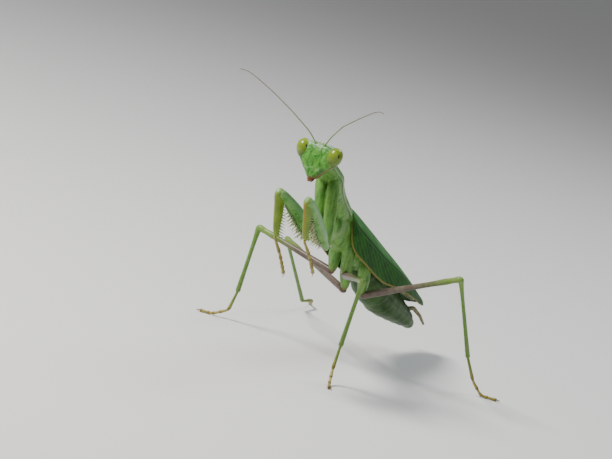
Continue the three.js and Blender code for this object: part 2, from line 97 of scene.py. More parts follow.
# name, place and aim in millimetres, width, watts, colour
LAMPS = [
    ("key", (-150, -150, 270), (0, 0, 15), 90, 1.75, (1, 0.98, 0.94)),
    ("fill", (260, -160, 120), (0, 0, 12), 200, 0.1, (0.95, 0.98, 1)),
    ("sky", (60, 220, 300), (0, 5, 15), 160, 0.55, (0.88, 0.95, 1)),
]
for lamp_name, place, aim, width, watts, colour in LAMPS:
    lamp_data = bpy.data.lights.new(lamp_name, "AREA")
    lamp_data.size = width / METRE
    lamp_data.energy = watts
    lamp_data.color = colour
    lamp = bpy.data.objects.new(lamp_name, lamp_data)
    lamp.location = Vector(place) / METRE
    lamp.rotation_euler = (Vector(aim) - Vector(place)).to_track_quat("-Z", "Y").to_euler()
    bpy.context.scene.collection.objects.link(lamp)

# ---- Trunk ----
# Neck, prosternum, middle and hind thorax and the hips of all six legs are one soft-looking
# cuticle without a seam. It is made of overlapping closed shells, fused and smoothed.

SHOULDER = (-2, -6.5, 24.5)


def part_frame(place, yaw, pitch, roll_angle):
    turned = Matrix.Rotation(math.radians(yaw), 4, "Z")
    turned = turned @ Matrix.Rotation(math.radians(pitch), 4, "X")
    return Matrix.Translation(place) @ turned @ Matrix.Rotation(math.radians(roll_angle), 4, "Y")


PROTHORAX = part_frame(SHOULDER, 4.9, -32.6, -1.2)
THORAX = part_frame(SHOULDER, -3.5, -30.9, -8)
ABDOMEN = part_frame(SHOULDER, -5.5, -26.6, -5.5)


def placed(matrix, points):
    """Points of a part's own frame, in the frame of the whole model."""
    m = np.array(matrix)
    return np.asarray(points, float) @ m[:3, :3].T + m[:3, 3]


def local(matrix, points):
    """Points of the whole model, in a part's own frame."""
    return placed(matrix.inverted(), points)


def profile(rows, at):
    """Columns of rows [t, value, ...] read at each t and smoothly joined."""
    rows = np.asarray(rows, float)
    knots, values = rows[:, 0], rows[:, 1:]
    at = np.atleast_1d(np.asarray(at, float))
    steps = np.diff(values, axis=0) / np.diff(knots)[:, None]
    slopes = np.vstack([steps[:1], (steps[1:] + steps[:-1]) / 2, steps[-1:]])
    turning = steps[1:] * steps[:-1] <= 0
    slopes[1:-1][turning] = 0
    i = np.clip(np.searchsorted(knots, at, side="right") - 1, 0, len(knots) - 2)
    span = (knots[i + 1] - knots[i])[:, None]
    f = np.clip((at[:, None] - knots[i][:, None]) / span, 0, 1)
    start = (2 * f**3 - 3 * f**2 + 1) * values[i] + (f**3 - 2 * f**2 + f) * slopes[i] * span
    return start + (3 * f**2 - 2 * f**3) * values[i + 1] + (f**3 - f**2) * slopes[i + 1] * span


def turns(sides):
    """Angles round a ring."""
    return np.linspace(0, 2 * math.pi, sides, endpoint=False)


def grid(x, y, z):
    """Points from three arrays that broadcast together."""
    return np.stack(np.broadcast_arrays(x, y, z), axis=-1)


def bell(distance, width):
    """1 at no distance, falling smoothly to nothing over about twice a width."""
    return np.exp(-((distance / width) ** 2))


def rise(value, zero, one):
    """0 up to one value, 1 from another value on, and even in between."""
    return np.clip((value - zero) / (one - zero), 0, 1)


def ovals(rows, count, sides):
    """Rings across +Y from rows [y, up, down, wide], with round ends, in a part's own frame."""
    first, last = rows[0][0], rows[-1][0]
    y = first + (last - first) * (1 - np.cos(np.linspace(0, math.pi, count))) / 2
    up, down, wide = profile(rows, y).T
    angle = turns(sides)
    reach = np.where(np.sin(angle) > 0, up[:, None], down[:, None]) * np.sin(angle)
    return grid(wide[:, None] * np.cos(angle), y[:, None], reach)


def skin_mesh(name, rings):
    """Closed mesh over rings, with a pole at each end and a UV map: round in u, along in v."""
    count, sides = rings.shape[:2]
    points = np.vstack([rings.reshape(-1, 3), rings[0].mean(0), rings[-1].mean(0)])
    faces, uvs = [], []
    for i in range(count - 1):
        v0, v1 = i / (count - 1), (i + 1) / (count - 1)
        for j in range(sides):
            k = (j + 1) % sides
            u0, u1 = j / sides, (j + 1) / sides
            faces.append((i * sides + j, i * sides + k, (i + 1) * sides + k, (i + 1) * sides + j))
            uvs.append(((u0, v0), (u1, v0), (u1, v1), (u0, v1)))
    top = (count - 1) * sides
    for j in range(sides):
        k = (j + 1) % sides
        u = (j + 0.5) / sides
        faces.append((count * sides, k, j))
        uvs.append(((u, 0), (u, 0), (u, 0)))
        faces.append((count * sides + 1, top + j, top + k))
        uvs.append(((u, 1), (u, 1), (u, 1)))
    first = points[[f[0] for f in faces]]
    second = points[[f[1] for f in faces]]
    third = points[[f[2] for f in faces]]
    quads = np.array([f[3] if len(f) == 4 else f[2] for f in faces])
    volume = np.einsum("ij,ij->", first, np.cross(second, third) + np.cross(third, points[quads]))
    if volume < 0:
        faces = [f[::-1] for f in faces]
        uvs = [u[::-1] for u in uvs]
    mesh = bpy.data.meshes.new(name)
    mesh.from_pydata((points / METRE).tolist(), [], faces)
    layer = mesh.uv_layers.new(name="along")
    layer.data.foreach_set("uv", np.array([c for face in uvs for c in face]).ravel())
    mesh.shade_smooth()
    return mesh


def add_object(name, mesh):
    obj = bpy.data.objects.new(name, mesh)
    bpy.context.scene.collection.objects.link(obj)
    return obj


def joined_mesh(name, meshes):
    """One mesh out of several, keeping their UV maps."""
    whole = bmesh.new()
    for mesh in meshes:
        whole.from_mesh(mesh)
    result = bpy.data.meshes.new(name)
    whole.to_mesh(result)
    whole.free()
    result.shade_smooth()
    return result


def made_plain(obj):
    """Turns an object's modifiers into its own mesh."""
    bpy.context.view_layer.update()
    depsgraph = bpy.context.evaluated_depsgraph_get()
    mesh = bpy.data.meshes.new_from_object(obj.evaluated_get(depsgraph))
    obj.modifiers.clear()
    obj.data = mesh
    return obj


def bearing(heading, rise):
    """Unit vector for a heading (0 ahead, 90 to her left) and a rise, in degrees."""
    h, r = math.radians(heading), math.radians(rise)
    return Vector((math.sin(h) * math.cos(r), -math.cos(h) * math.cos(r), math.sin(r)))


def joint_frame(at, direction, upward):
    """Frame at a joint whose +Y runs along the limb and whose +Z is as near to upward as it can be."""
    y = Vector(direction).normalized()
    x = y.cross(Vector(upward)).normalized()
    z = x.cross(y)
    return Matrix.Translation(at) @ Matrix((x, y, z)).transposed().to_4x4()


# Each leg: its hip, then the heading and rise of each joint in degrees. Toes are level, so they
# have a heading alone. On the fore legs, tan is how brown the stripe down the tibia is.
LEGS = {
    "fore_right": {
        "hip": (-1.7, -17.9, 29.4), "coxa": (88, -73.9), "femur": (-19.5, 32.8),
        "tibia": (169.7, -74.9), "tarsus": (146.5, -58), "tan": 0.15,
    },
    "fore_left": {
        "hip": (0.5, -18.3, 29.4), "coxa": (65, -75.2), "femur": (-0.3, 36.2),
        "tibia": (-174.8, -63.6), "tarsus": (163, -51), "tan": 1.0,
    },
    "mid_right": {
        "hip": (-2.05, -4.95, 18.3), "coxa": (163, -81), "femur": (-92.9, 8.6),
        "tibia": (-146.8, -74.4), "basitarsus": (-124.4, -71.4), "toes": -63.2,
    },
    "mid_left": {
        "hip": (0.2, -5.15, 18.5), "coxa": (163, -81), "femur": (34.5, 10.8),
        "tibia": (-151.1, -71), "basitarsus": (-54, -87.9), "toes": 27.2,
    },
    "hind_right": {
        "hip": (-1.55, -0.15, 15.2), "coxa": (168, -75), "femur": (-117.9, 8.5),
        "tibia": (-177.1, -39.4), "basitarsus": (-177.1, -4.2), "toes": -150,
    },
    "hind_left": {
        "hip": (1.5, -0.25, 15.4), "coxa": (168, -75), "femur": (82.4, 28.1),
        "tibia": (179.6, -46.8), "basitarsus": (153.4, -56), "toes": 115,
    },
}
LENGTHS = {
    "fore": {"coxa": 9.4, "femur": 12.8, "tibia": 7, "tarsus": 5.9},
    "mid": {"coxa": 4.2, "femur": 14.3, "tibia": 11.8, "basitarsus": 3.6, "toes": 4.6},
    "hind": {"coxa": 4.4, "femur": 17.7, "tibia": 18.7, "basitarsus": 4.5, "toes": 5.2},
}


def leg_joints(leg_name):
    """Hip, trochanter, knee and ankle of a leg."""
    leg, size = LEGS[leg_name], LENGTHS[leg_name.split("_")[0]]
    hip = Vector(leg["hip"])
    trochanter = hip + bearing(*leg["coxa"]) * size["coxa"]
    knee = trochanter + bearing(*leg["femur"]) * size["femur"]
    ankle = knee + bearing(*leg["tibia"]) * size["tibia"]
    return hip, trochanter, knee, ankle


# Rows [y, up, down, half width] round the prothorax, seen along it.
PROTHORAX_ROWS = [
    (-17.2, 0.2, 0.4, 0.5),
    (-16.7, 0.5, 0.95, 1.2),
    (-14.6, 0.8, 1.35, 1.75),
    (-12, 0.85, 1.5, 2.25),
    (-9.4, 0.8, 1.6, 1.85),
    (-5.5, 0.75, 1.75, 1.6),
    (-2.4, 0.75, 2.1, 1.75),
    (-0.6, 0.7, 2.3, 1.75),
    (0.8, 0.5, 1.8, 1.4),
]
PROTHORAX_CENTRE = -1.0
# Rows [y, top, bottom, half width] of the middle and hind thorax.
THORAX_ROWS = [
    (-2.6, -2.6, -3.9, 0.6),
    (-1.6, -1.9, -5.0, 1.3),
    (0, -1.1, -5.8, 1.85),
    (1.6, -0.35, -6.1, 2.2),
    (3, -0.15, -5.9, 2.35),
    (5, -0.1, -5.1, 2.4),
    (8, -0.1, -4.8, 2.4),
    (10.6, -0.35, -4.7, 2.3),
    (13.2, -1.0, -4.3, 1.8),
]
# Rows [y, up, down, half width] of the plate between the pronotum and the wing roots.
WING_HINGE_ROWS = [
    (-1.2, 0.5, 1.0, 0.8),
    (-0.3, 1.25, 1.5, 1.5),
    (0.5, 1.5, 1.8, 1.9),
    (1.5, 1.62, 2.0, 1.95),
    (2.8, 1.45, 2.0, 1.8),
    (4.5, 0.9, 2.0, 1.6),
    (5.5, 0.4, 1.0, 1.0),
]
WING_HINGE_CENTRE = -1.5
# Rows [y, up, down, half width] of the coxae, from the hip outward.
FORE_COXA_ROWS = [
    (-0.9, 0.4, 0.4, 0.4),
    (0.2, 0.9, 0.95, 0.85),
    (1.6, 1.0, 1.1, 0.95),
    (3.3, 1.0, 1.15, 0.95),
    (6.6, 0.75, 0.9, 0.8),
    (8.2, 0.62, 0.68, 0.62),
    (9.1, 0.6, 0.6, 0.55),
    (9.6, 0.25, 0.25, 0.25),
]
WALKING_COXA_ROWS = [
    (-1.6, 0.5, 0.5, 0.5),
    (-0.5, 1.0, 1.0, 0.95),
    (1.4, 1.05, 1.05, 1.0),
    (2.6, 0.9, 0.9, 0.85),
    (3.8, 0.62, 0.62, 0.6),
    (4.4, 0.3, 0.3, 0.3),
]


def trunk_rings(rows):
    """Rings of a part whose rows give its top and bottom."""
    ring_rows = [(y, (top - bottom) / 2, (top - bottom) / 2, wide) for y, top, bottom, wide in rows]
    rings = ovals(ring_rows, 60, 40)
    rings[:, :, 2] += profile([(y, (top + bottom) / 2) for y, top, bottom, _ in rows], rings[:, 0, 1])
    return rings


trunk_parts = [
    skin_mesh("prosternum", placed(PROTHORAX, ovals(PROTHORAX_ROWS, 70, 40) + (0, 0, PROTHORAX_CENTRE))),
    skin_mesh("thorax_wall", placed(THORAX, trunk_rings(THORAX_ROWS))),
    skin_mesh("wing_hinge", placed(ABDOMEN, ovals(WING_HINGE_ROWS, 40, 40) + (0, 0, WING_HINGE_CENTRE))),
]
for leg_name, leg in LEGS.items():
    fore = leg_name.startswith("fore")
    ahead = -bearing(*leg["femur"]) if fore else Vector((0, 1, 0))
    coxa_frame = joint_frame(Vector(leg["hip"]), bearing(*leg["coxa"]), ahead)
    coxa_rings = ovals(FORE_COXA_ROWS if fore else WALKING_COXA_ROWS, 50, 32)
    trunk_parts.append(skin_mesh(f"coxa_wall_{leg_name}", placed(coxa_frame, coxa_rings)))


def tube_rings(path, radii, up, sides=24):
    """Rings round a path. At each point there is one radius, or one sideways and one upward."""
    path = np.asarray(path, float)
    radii = np.asarray(radii, float).reshape(len(path), -1)
    tangent = np.gradient(path, axis=0)
    tangent /= np.linalg.norm(tangent, axis=1)[:, None]
    side = np.cross(tangent, np.asarray(up, float))
    side /= np.linalg.norm(side, axis=1)[:, None]
    rise_way = np.cross(side, tangent)
    angle = turns(sides)[None, :, None]
    across = side[:, None, :] * radii[:, 0][:, None, None] * np.cos(angle)
    return path[:, None, :] + across + rise_way[:, None, :] * radii[:, -1][:, None, None] * np.sin(angle)


HEAD_AT = (-0.5, -23.75, 34)
NECK_RADII = (0.95, 0.8)
neck_root = placed(PROTHORAX, (0, -15.8, -1.1))
neck_end = np.array(HEAD_AT) + (0, 1.0, -0.9)
neck_line = [neck_root + (neck_end - neck_root) * t for t in np.linspace(0, 1, 12)]
trunk_parts.append(skin_mesh("neck_wall", tube_rings(neck_line, [NECK_RADII] * 12, (0, 0, 1))))

VOXEL = 0.13
trunk = add_object("trunk_skin", joined_mesh("trunk_skin", trunk_parts))
fused = trunk.modifiers.new("fused", "REMESH")
fused.mode = "VOXEL"
fused.voxel_size = VOXEL / METRE
fused.use_smooth_shade = True
relaxed = trunk.modifiers.new("relaxed", "SMOOTH")
relaxed.factor = 0.5
relaxed.iterations = 7
made_plain(trunk)


def vertices(mesh):
    """Vertex places in millimetres."""
    flat = np.empty(len(mesh.vertices) * 3)
    mesh.vertices.foreach_get("co", flat)
    return flat.reshape(-1, 3) * METRE


def set_mask(mesh, name, values):
    """A mask that a mesh carries: a value for each vertex, or one for all of them."""
    mask = mesh.attributes.new(name, "FLOAT", "POINT")
    every = np.broadcast_to(np.clip(values, 0, 1), len(mesh.vertices))
    mask.data.foreach_set("value", every.astype(np.float32))


# Brown rings at the hip ends, and a painted highlight: a pale band across the underside at the fold between
# the plates.
HIP_RING = 0.75
FOLD_AT = -0.6
FOLD_WIDTH = 0.55
FOLD_BELOW = -2.4
trunk_points = vertices(trunk.data)
ring_mask = np.zeros(len(trunk_points))
for leg_name in LEGS:
    if not leg_name.startswith("fore"):
        distance = np.linalg.norm(trunk_points - np.array(leg_joints(leg_name)[1]), axis=1)
        ring_mask = np.maximum(ring_mask, bell(distance, HIP_RING))
set_mask(trunk.data, "hip_end", ring_mask)
below = local(THORAX, trunk_points)
set_mask(trunk.data, "fold_painted_highlight", bell(below[:, 1] - FOLD_AT, FOLD_WIDTH) * (below[:, 2] < FOLD_BELOW))


def add_node(tree, kind, inputs=None, **settings):
    """A node with its settings, and its inputs linked to sockets or set to values."""
    made = tree.nodes.new(kind)
    for setting, value in settings.items():
        setattr(made, setting, value)
    for name, value in (inputs or {}).items():
        socket = made.inputs[name]
        if isinstance(value, bpy.types.NodeSocket):
            tree.links.new(value, socket)
        elif isinstance(socket, bpy.types.NodeSocketColor):
            socket.default_value = (*value, 1)
        else:
            socket.default_value = value
    return made


def new_tree(name, kind, inputs, outputs):
    """A node tree with named sockets, and the sockets that come into it."""
    tree = bpy.data.node_groups.new(name, kind)
    for way, sockets in (("INPUT", inputs), ("OUTPUT", outputs)):
        for socket_name, sort in sockets.items():
            tree.interface.new_socket(name=socket_name, in_out=way, socket_type=f"NodeSocket{sort}")
    return tree, add_node(tree, "NodeGroupInput").outputs


def make_grain_group():
    """Blotches, specks, upright streaks and fine pits of the cuticle, for every finish on her."""
    group, entry = new_tree(
        "cuticle_grain",
        "ShaderNodeTree",
        {"Blotch Scale": "Float", "Speck Scale": "Float"},
        {"Blotch": "Float", "Speck": "Float", "Streak": "Float", "Height": "Float"},
    )
    place = add_node(group, "ShaderNodeTexCoord").outputs["Object"]
    upright = add_node(group, "ShaderNodeMapping", {"Vector": place, "Scale": (2.2, 2.2, 0.45)})
    coarse = {"Vector": place, "Scale": entry["Blotch Scale"], "Detail": 3}
    fine = {"Vector": place, "Scale": entry["Speck Scale"]}
    textures = {
        "Blotch": {**coarse, "Roughness": 0.55},
        "Speck": {**fine, "Detail": 2},
        "Streak": {**coarse, "Vector": upright.outputs["Vector"], "Distortion": 0.8},
    }
    results = {}
    for output, settings in textures.items():
        value = add_node(group, "ShaderNodeTexNoise", settings).outputs["Fac"]
        limits = {"Value": value, "From Min": 0.38, "From Max": 0.62}
        results[output] = add_node(group, "ShaderNodeMapRange", limits).outputs["Result"]
        if output == "Speck":
            speck = value
    pits = add_node(group, "ShaderNodeTexVoronoi", fine).outputs["Distance"]
    height = add_node(group, "ShaderNodeMath", {0: pits, 1: 0.6, 2: speck}, operation="MULTIPLY_ADD")
    add_node(group, "NodeGroupOutput", {**results, "Height": height.outputs["Value"]})
    return group


GRAIN = make_grain_group()


class Finish:
    """A cuticle finish: colours laid over each other go into one shader, whose gloss is fixed."""

    def __init__(self, name, roughness, coat, **other):
        sizes = {"blotch": 900, "speck": 5000, "bump": 0.25, "depth": 0.02, "gloss": 0.3, "coat_blur": 0.3}
        sizes.update(other)
        self.material = bpy.data.materials.new(name)
        self.material.use_nodes = True
        self.tree = self.material.node_tree
        self.shader = self.tree.nodes["Principled BSDF"].inputs
        self.shader["Roughness"].default_value = roughness
        self.shader["Coat Weight"].default_value = coat
        self.shader["Coat Roughness"].default_value = sizes["coat_blur"]
        self.shader["Specular IOR Level"].default_value = sizes["gloss"]
        scales = {"Blotch Scale": sizes["blotch"], "Speck Scale": sizes["speck"]}
        self.grain = self.add("ShaderNodeGroup", scales, node_tree=GRAIN).outputs
        relief = {"Height": self.grain["Height"], "Strength": sizes["bump"]}
        bump = self.add("ShaderNodeBump", {**relief, "Distance": sizes["depth"] / METRE})
        self.tree.links.new(bump.outputs["Normal"], self.shader["Normal"])

    def add(self, kind, inputs=None, **settings):
        return add_node(self.tree, kind, inputs, **settings)

    def mask(self, what):
        """A socket of its own, the grain's, the way round or along the piece, or a mesh's mask."""
        if not isinstance(what, str):
            return what
        if what in self.grain:
            return self.grain[what]
        if what in ("round", "along"):
            uv = self.add("ShaderNodeUVMap", uv_map="along").outputs["UV"]
            return self.add("ShaderNodeSeparateXYZ", {"Vector": uv}).outputs["X" if what == "round" else "Y"]
        return self.add("ShaderNodeAttribute", attribute_name=what).outputs["Fac"]

    def ramp(self, what, stops):
        """Colours or greys at stops (place, colour) along a mask."""
        node = self.add("ShaderNodeValToRGB", {"Fac": self.mask(what)})
        elements = node.color_ramp.elements
        while len(elements) < len(stops):
            elements.new(0.5)
        for element, (place, colour) in zip(elements, stops):
            element.position = place
            element.color = (*colour, 1) if isinstance(colour, tuple) else (colour, colour, colour, 1)
        return node.outputs["Color"]

    def mix(self, what, first, second):
        """Blend of two colours by a mask."""
        inputs = {0: self.mask(what), 6: first, 7: second}
        return self.add("ShaderNodeMix", inputs, data_type="RGBA").outputs[2]

    def ground(self, what, first, second):
        """The ground colour, from one colour to another by a mask."""
        self.colour = self.mix(what, first, second)
        return self

    def lay(self, what, colour, strength=None, stops=None):
        """A colour over the others by a mask, read at stops if given, cut by a number or mask."""
        shown = self.ramp(what, stops) if stops else self.mask(what)
        if strength:
            factors = {0: shown, 1: self.mask(strength)}
            cut = self.add("ShaderNodeMath", factors, operation="MULTIPLY", use_clamp=True)
            shown = cut.outputs["Value"]
        self.colour = self.mix(shown, self.colour, colour)
        return self

    def done(self):
        """The material, with its colours on the shader."""
        self.tree.links.new(self.colour, self.shader["Base Color"])
        return self.material


def settle(piece, slot, *nodes):
    """The piece rides on the one body and stands for CAD nodes; its slot is not used."""
    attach(piece, "root")
    if nodes:
        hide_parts(*nodes)


def add_piece(name, mesh, material, slot, *nodes):
    """A piece of one finish, settled."""
    mesh.materials.append(material)
    settle(add_object(name, mesh), slot, *nodes)


LEAF = (0.035, 0.15, 0.008)
PALE_LEAF = (0.13, 0.33, 0.05)
YELLOW_LEAF = (0.14, 0.27, 0.01)
# Pale bloom for the specks, and also the colour of the painted highlight at the fold.
WHITE_BLOOM_AND_HIGHLIGHT = (0.36, 0.5, 0.26)
RUST = (0.13, 0.035, 0.012)

trunk_material = (
    Finish("trunk_cuticle", 0.42, 0.1, blotch=650, bump=0.4)
    .ground("Streak", LEAF, PALE_LEAF)
    .lay("Blotch", YELLOW_LEAF, 0.35)
    .lay("Speck", WHITE_BLOOM_AND_HIGHLIGHT, 0.15)
    # Painted highlight: the pale band at the fold.
    .lay("fold_painted_highlight", WHITE_BLOOM_AND_HIGHLIGHT, 0.35)
    .lay("hip_end", RUST)
    .done()
)
trunk.data.materials.append(trunk_material)
settle(trunk, "green_cuticle", "neck", "prothorax", "thorax", *[f"coxa_{leg_name}" for leg_name in LEGS])

# ---- Pronotum ----
# The long roof plate of the prothorax: a stiff saddle with a keel down its middle, a groove
# over the fore hips and thin margins that stand a little out from the side.

# Rows [y, half width, height of the roof, drop of the margin]
PRONOTUM_ROWS = [
    (-17.0, 0.9, 0.35, 0.5),
    (-16.5, 1.3, 0.7, 0.5),
    (-14.6, 1.82, 0.95, 0.5),
    (-12, 2.36, 1.02, 0.5),
    (-9.4, 1.92, 0.98, 0.5),
    (-5.5, 1.68, 0.95, 0.5),
    (-1.6, 1.88, 0.95, 0.5),
    (-0.4, 1.85, 0.8, 0.5),
    (0.15, 1.4, 0.6, 0.5),
]
PLATE_THICKNESS = 0.14
KEEL_HEIGHT = 0.09
GROOVE_AT = -11.6
GROOVE_DEPTH = 0.16
# How blunt the roof is, and how close to the edge the margin turns down.
ROOF_POWER = 0.8
MARGIN_POWER = 6


def pronotum_rings():
    y = np.linspace(PRONOTUM_ROWS[0][0], PRONOTUM_ROWS[-1][0], 110)[:, None]
    wide, high, drop = profile(PRONOTUM_ROWS, y[:, 0]).T[:, :, None]
    a = np.linspace(-1, 1, 37)
    roof = high * np.cos(a * math.pi / 2) ** ROOF_POWER
    margin = -drop * np.abs(a) ** MARGIN_POWER * 0.5
    keel = KEEL_HEIGHT * bell(a, 0.05)
    groove = -GROOVE_DEPTH * bell(y - GROOVE_AT, 0.3) * (1 - np.abs(a)) ** 0.5
    top = grid(wide * np.sin(a * math.pi / 2), y, PROTHORAX_CENTRE + roof + margin + keel + groove)
    under = top * (0.96, 1, 1) - (0, 0, PLATE_THICKNESS)
    return np.concatenate([top, under[:, ::-1]], axis=1)


# The margins and the keel are paler.
PALE_LINES = [(0, 1.0), (0.035, 0.0), (0.24, 0.0), (0.25, 0.8), (0.26, 0.0), (0.47, 0.0), (0.5, 1.0)]
roof_material = (
    Finish("pronotum_plate", 0.4, 0.12, blotch=600, speck=7000, bump=0.4)
    .ground("Blotch", (0.09, 0.24, 0.03), (0.16, 0.32, 0.14))
    .lay("round", (0.28, 0.42, 0.2), stops=PALE_LINES)
    .done()
)
pronotum_mesh = skin_mesh("pronotum", placed(PROTHORAX, pronotum_rings()))
add_piece("pronotum", pronotum_mesh, roof_material, "green_cuticle")

# ---- Head ----
# A flat triangle, widest between the eyes, that narrows to the mouth. The face is wrinkled and
# mottled, with a shield over the mouth, a socket for each feeler and three simple eyes.

HEAD = part_frame(HEAD_AT, 1, 0, -2)
# Rows [z, half width, front, back] from the mouth up to the crown.
HEAD_ROWS = [
    (-4.0, 0.35, 1.3, -0.5),
    (-3.8, 0.66, 1.5, -0.3),
    (-3.3, 1.12, 1.62, 0.1),
    (-2.5, 1.85, 1.62, 0.6),
    (-1.6, 2.64, 1.54, 0.95),
    (-1.0, 2.98, 1.45, 1.1),
    (-0.4, 3.1, 1.32, 1.2),
    (0.3, 3.0, 1.15, 1.2),
    (0.85, 2.5, 0.9, 1.05),
    (1.1, 2.1, 0.68, 0.85),
    (1.22, 1.5, 0.42, 0.55),
    (1.26, 0.6, 0.15, 0.2),
]
HEAD_SIDES = 120
HEAD_RINGS = 150
# How square the head's sections are sideways and back to front.
HEAD_POWERS = (0.8, 0.62)
# Wrinkles of the face: how fine each kind is and how high it stands.
WRINKLES = [(1.2, 0.06), (3.1, 0.045)]


def head_rings():
    z = np.linspace(HEAD_ROWS[0][0], HEAD_ROWS[-1][0], HEAD_RINGS)[:, None]
    wide, front, back = profile(HEAD_ROWS, z[:, 0]).T[:, :, None]
    circle = np.stack([np.cos(turns(HEAD_SIDES)), np.sin(turns(HEAD_SIDES))])
    c, s = np.sign(circle) * np.abs(circle) ** np.array(HEAD_POWERS)[:, None]
    rings = grid(wide * c, np.where(s > 0, back * s, front * s), z)
    for point in rings.reshape(-1, 3):
        spot = Vector((point[0] * 1.8, point[1], point[2] * 0.8))
        rough = sum(noise.noise(spot * fineness) * height for fineness, height in WRINKLES)
        point[1] += -rough if point[1] < 0 else rough
    return rings


def spots(points, places, reach):
    """Mask of tall spots on both sides of the face: places are [x, z, half width]."""
    mask = np.zeros(len(points))
    for x, z, size in places:
        away = np.hypot((np.abs(points[:, 0]) - x) / size, (points[:, 2] - z) / (size * reach))
        mask = np.maximum(mask, bell(away, 1))
    return mask * (points[:, 1] < 0)


DARK_SPOTS = [(1.1, -1.6, 0.26), (0.3, -2.95, 0.2), (1.6, -2.2, 0.16)]
PALE_SPOTS = [(1.03, -2.4, 0.11), (0.72, -2.52, 0.1), (0.1, -2.2, 0.1)]
head_mesh = skin_mesh("head_capsule", placed(HEAD, head_rings()))
face = local(HEAD, vertices(head_mesh))
half_width = profile([(z, wide) for z, wide, _, _ in HEAD_ROWS], face[:, 2])[:, 0]
# A brown band along each cheek, broader near the mouth.
cheek = rise(np.abs(face[:, 0]) / half_width + 0.14 * rise(face[:, 2], -2.2, -3.6), 0.92, 0.97)
cheek *= rise(face[:, 2], -0.9, -1.5) * rise(face[:, 1], -0.1, -0.5)
head_masks = {
    "dark_spots": spots(face, DARK_SPOTS, 1.5),
    "pale_spots": spots(face, PALE_SPOTS, 1.6),
    "cheek": cheek,
    "mouth_band": rise(face[:, 2], -3.5, -3.7),
    # Painted sky reflection: a pale bluish sheen over the crown, where it curves back toward the light
    # above.
    "crown_painted_sheen": rise(face[:, 2], 0.75, 1.15),
}
for mask_name, values in head_masks.items():
    set_mask(head_mesh, mask_name, values)

MOUTH_BROWN = (0.17, 0.032, 0.006)
head_finish = Finish("face_cuticle", 0.4, 0.1, blotch=850, speck=3600, bump=0.6, depth=0.05)
head_material = (
    head_finish.ground("Streak", (0.012, 0.12, 0.003), (0.09, 0.3, 0.025))
    .lay("Speck", (0.22, 0.46, 0.13), 0.25)
    # Painted highlight: the pale bluish sky sheen on the crown.
    .lay("crown_painted_sheen", (0.36, 0.5, 0.38), 0.45)
    .lay("dark_spots", (0.008, 0.09, 0.006), 0.55)
    .lay("pale_spots", (0.4, 0.55, 0.3), 0.55)
    .lay("cheek", head_finish.mix("mouth_band", (0.17, 0.075, 0.018), MOUTH_BROWN), 0.85)
    .lay("mouth_band", MOUTH_BROWN, 0.85)
    .done()
)
add_piece("head_capsule", head_mesh, head_material, "green_cuticle", "head")


def bead_mesh(name, centre, radii, matrix, sides):
    """Ellipsoid with a pole at each end of its Y axis."""
    t = np.linspace(0.02, math.pi - 0.02, sides)[:, None]
    angle = turns(sides)
    ring = grid(
        np.sin(t) * np.cos(angle) * radii[0], -np.cos(t) * radii[1], np.sin(t) * np.sin(angle) * radii[2]
    )
    return skin_mesh(name, placed(matrix, ring + np.array(centre)))


OCELLI_AT = [(0, -0.62, 1.12), (0.3, -0.38, 1.36), (-0.3, -0.38, 1.36)]
OCELLUS_RADII = (0.11, 0.12, 0.12)
ocelli_meshes = [bead_mesh("ocellus", at, OCELLUS_RADII, HEAD, 14) for at in OCELLI_AT]
ocelli_material = (
    Finish("ocellus_glass", 0.15, 0.8, blotch=3000)
    .ground("Blotch", (0.45, 0.5, 0.12), (0.62, 0.62, 0.3))
    .done()
)
add_piece("ocelli", joined_mesh("ocelli", ocelli_meshes), ocelli_material, "green_cuticle")

# ---- Eyes ----
# Large compound eyes, egg-shaped, leaning out at the top. The facets are too fine to see; they
# show as a soft sheen, a paler upper half and one dark false pupil that looks back at the viewer.

EYE_CENTRE = (2.42, -0.2, -0.22)
EYE_RADII = (1.15, 1.25, 1.52)
EYE_LEAN = 17
# Half width of the false pupil, its height to its width, and how far it is off the line of sight.
PUPIL_SIZE = 0.13
PUPIL_HEIGHT = 2.3
PUPIL_SHIFT = {"left": (0.72, 0, 0.55), "right": (0.4, 0, 0.25)}
# Her left is on +X.
SIDES = (("left", 1), ("right", -1))
eye_material = (
    Finish("eye_glass", 0.25, 0.3, blotch=700, speck=9000, bump=0.08, coat_blur=0.08)
    .ground("eye_height", (0.03, 0.085, 0.001), (0.19, 0.29, 0.008))
    .lay("Blotch", (0.36, 0.4, 0.08), 0.2)
    .lay("pupil", (0.01, 0.012, 0.005))
    .done()
)
for side_name, side in SIDES:
    lean = Matrix.Rotation(math.radians(side * EYE_LEAN), 4, "Y")
    eye_frame = HEAD @ Matrix.Translation((side * EYE_CENTRE[0], EYE_CENTRE[1], EYE_CENTRE[2])) @ lean
    eye_mesh = bead_mesh(f"eye_{side_name}", (0, 0, 0), EYE_RADII, eye_frame, 72)
    shape = local(eye_frame, vertices(eye_mesh)) / np.array(EYE_RADII)
    set_mask(eye_mesh, "eye_height", 0.5 + 0.55 * shape[:, 2])
    look = CAMERA_TARGET + backward * CAMERA_DISTANCE - eye_frame.translation
    look = eye_frame.to_3x3().inverted() @ look
    pupil_at = np.array(look.normalized()) + PUPIL_SHIFT[side_name]
    pupil_at /= np.linalg.norm(pupil_at)
    away = np.linalg.norm((shape - pupil_at) / (1, 1, PUPIL_HEIGHT), axis=1)
    set_mask(eye_mesh, "pupil", 1.25 - (away / PUPIL_SIZE) ** 2)
    add_piece(f"eye_{side_name}", eye_mesh, eye_material, "eye", f"eye_{side_name}")

# ---- Mouth ----
# The upper lip hangs over a pair of dark jaws, with two jointed feelers on each side folded
# under them.

mouth_material = (
    Finish("mouth_cuticle", 0.35, 0.3, blotch=1500)
    .ground("Blotch", (0.1, 0.015, 0.003), (0.24, 0.05, 0.008))
    .lay("along", (0.27, 0.13, 0.04), stops=[(0.45, 0.0), (0.85, 0.8)])
    .done()
)
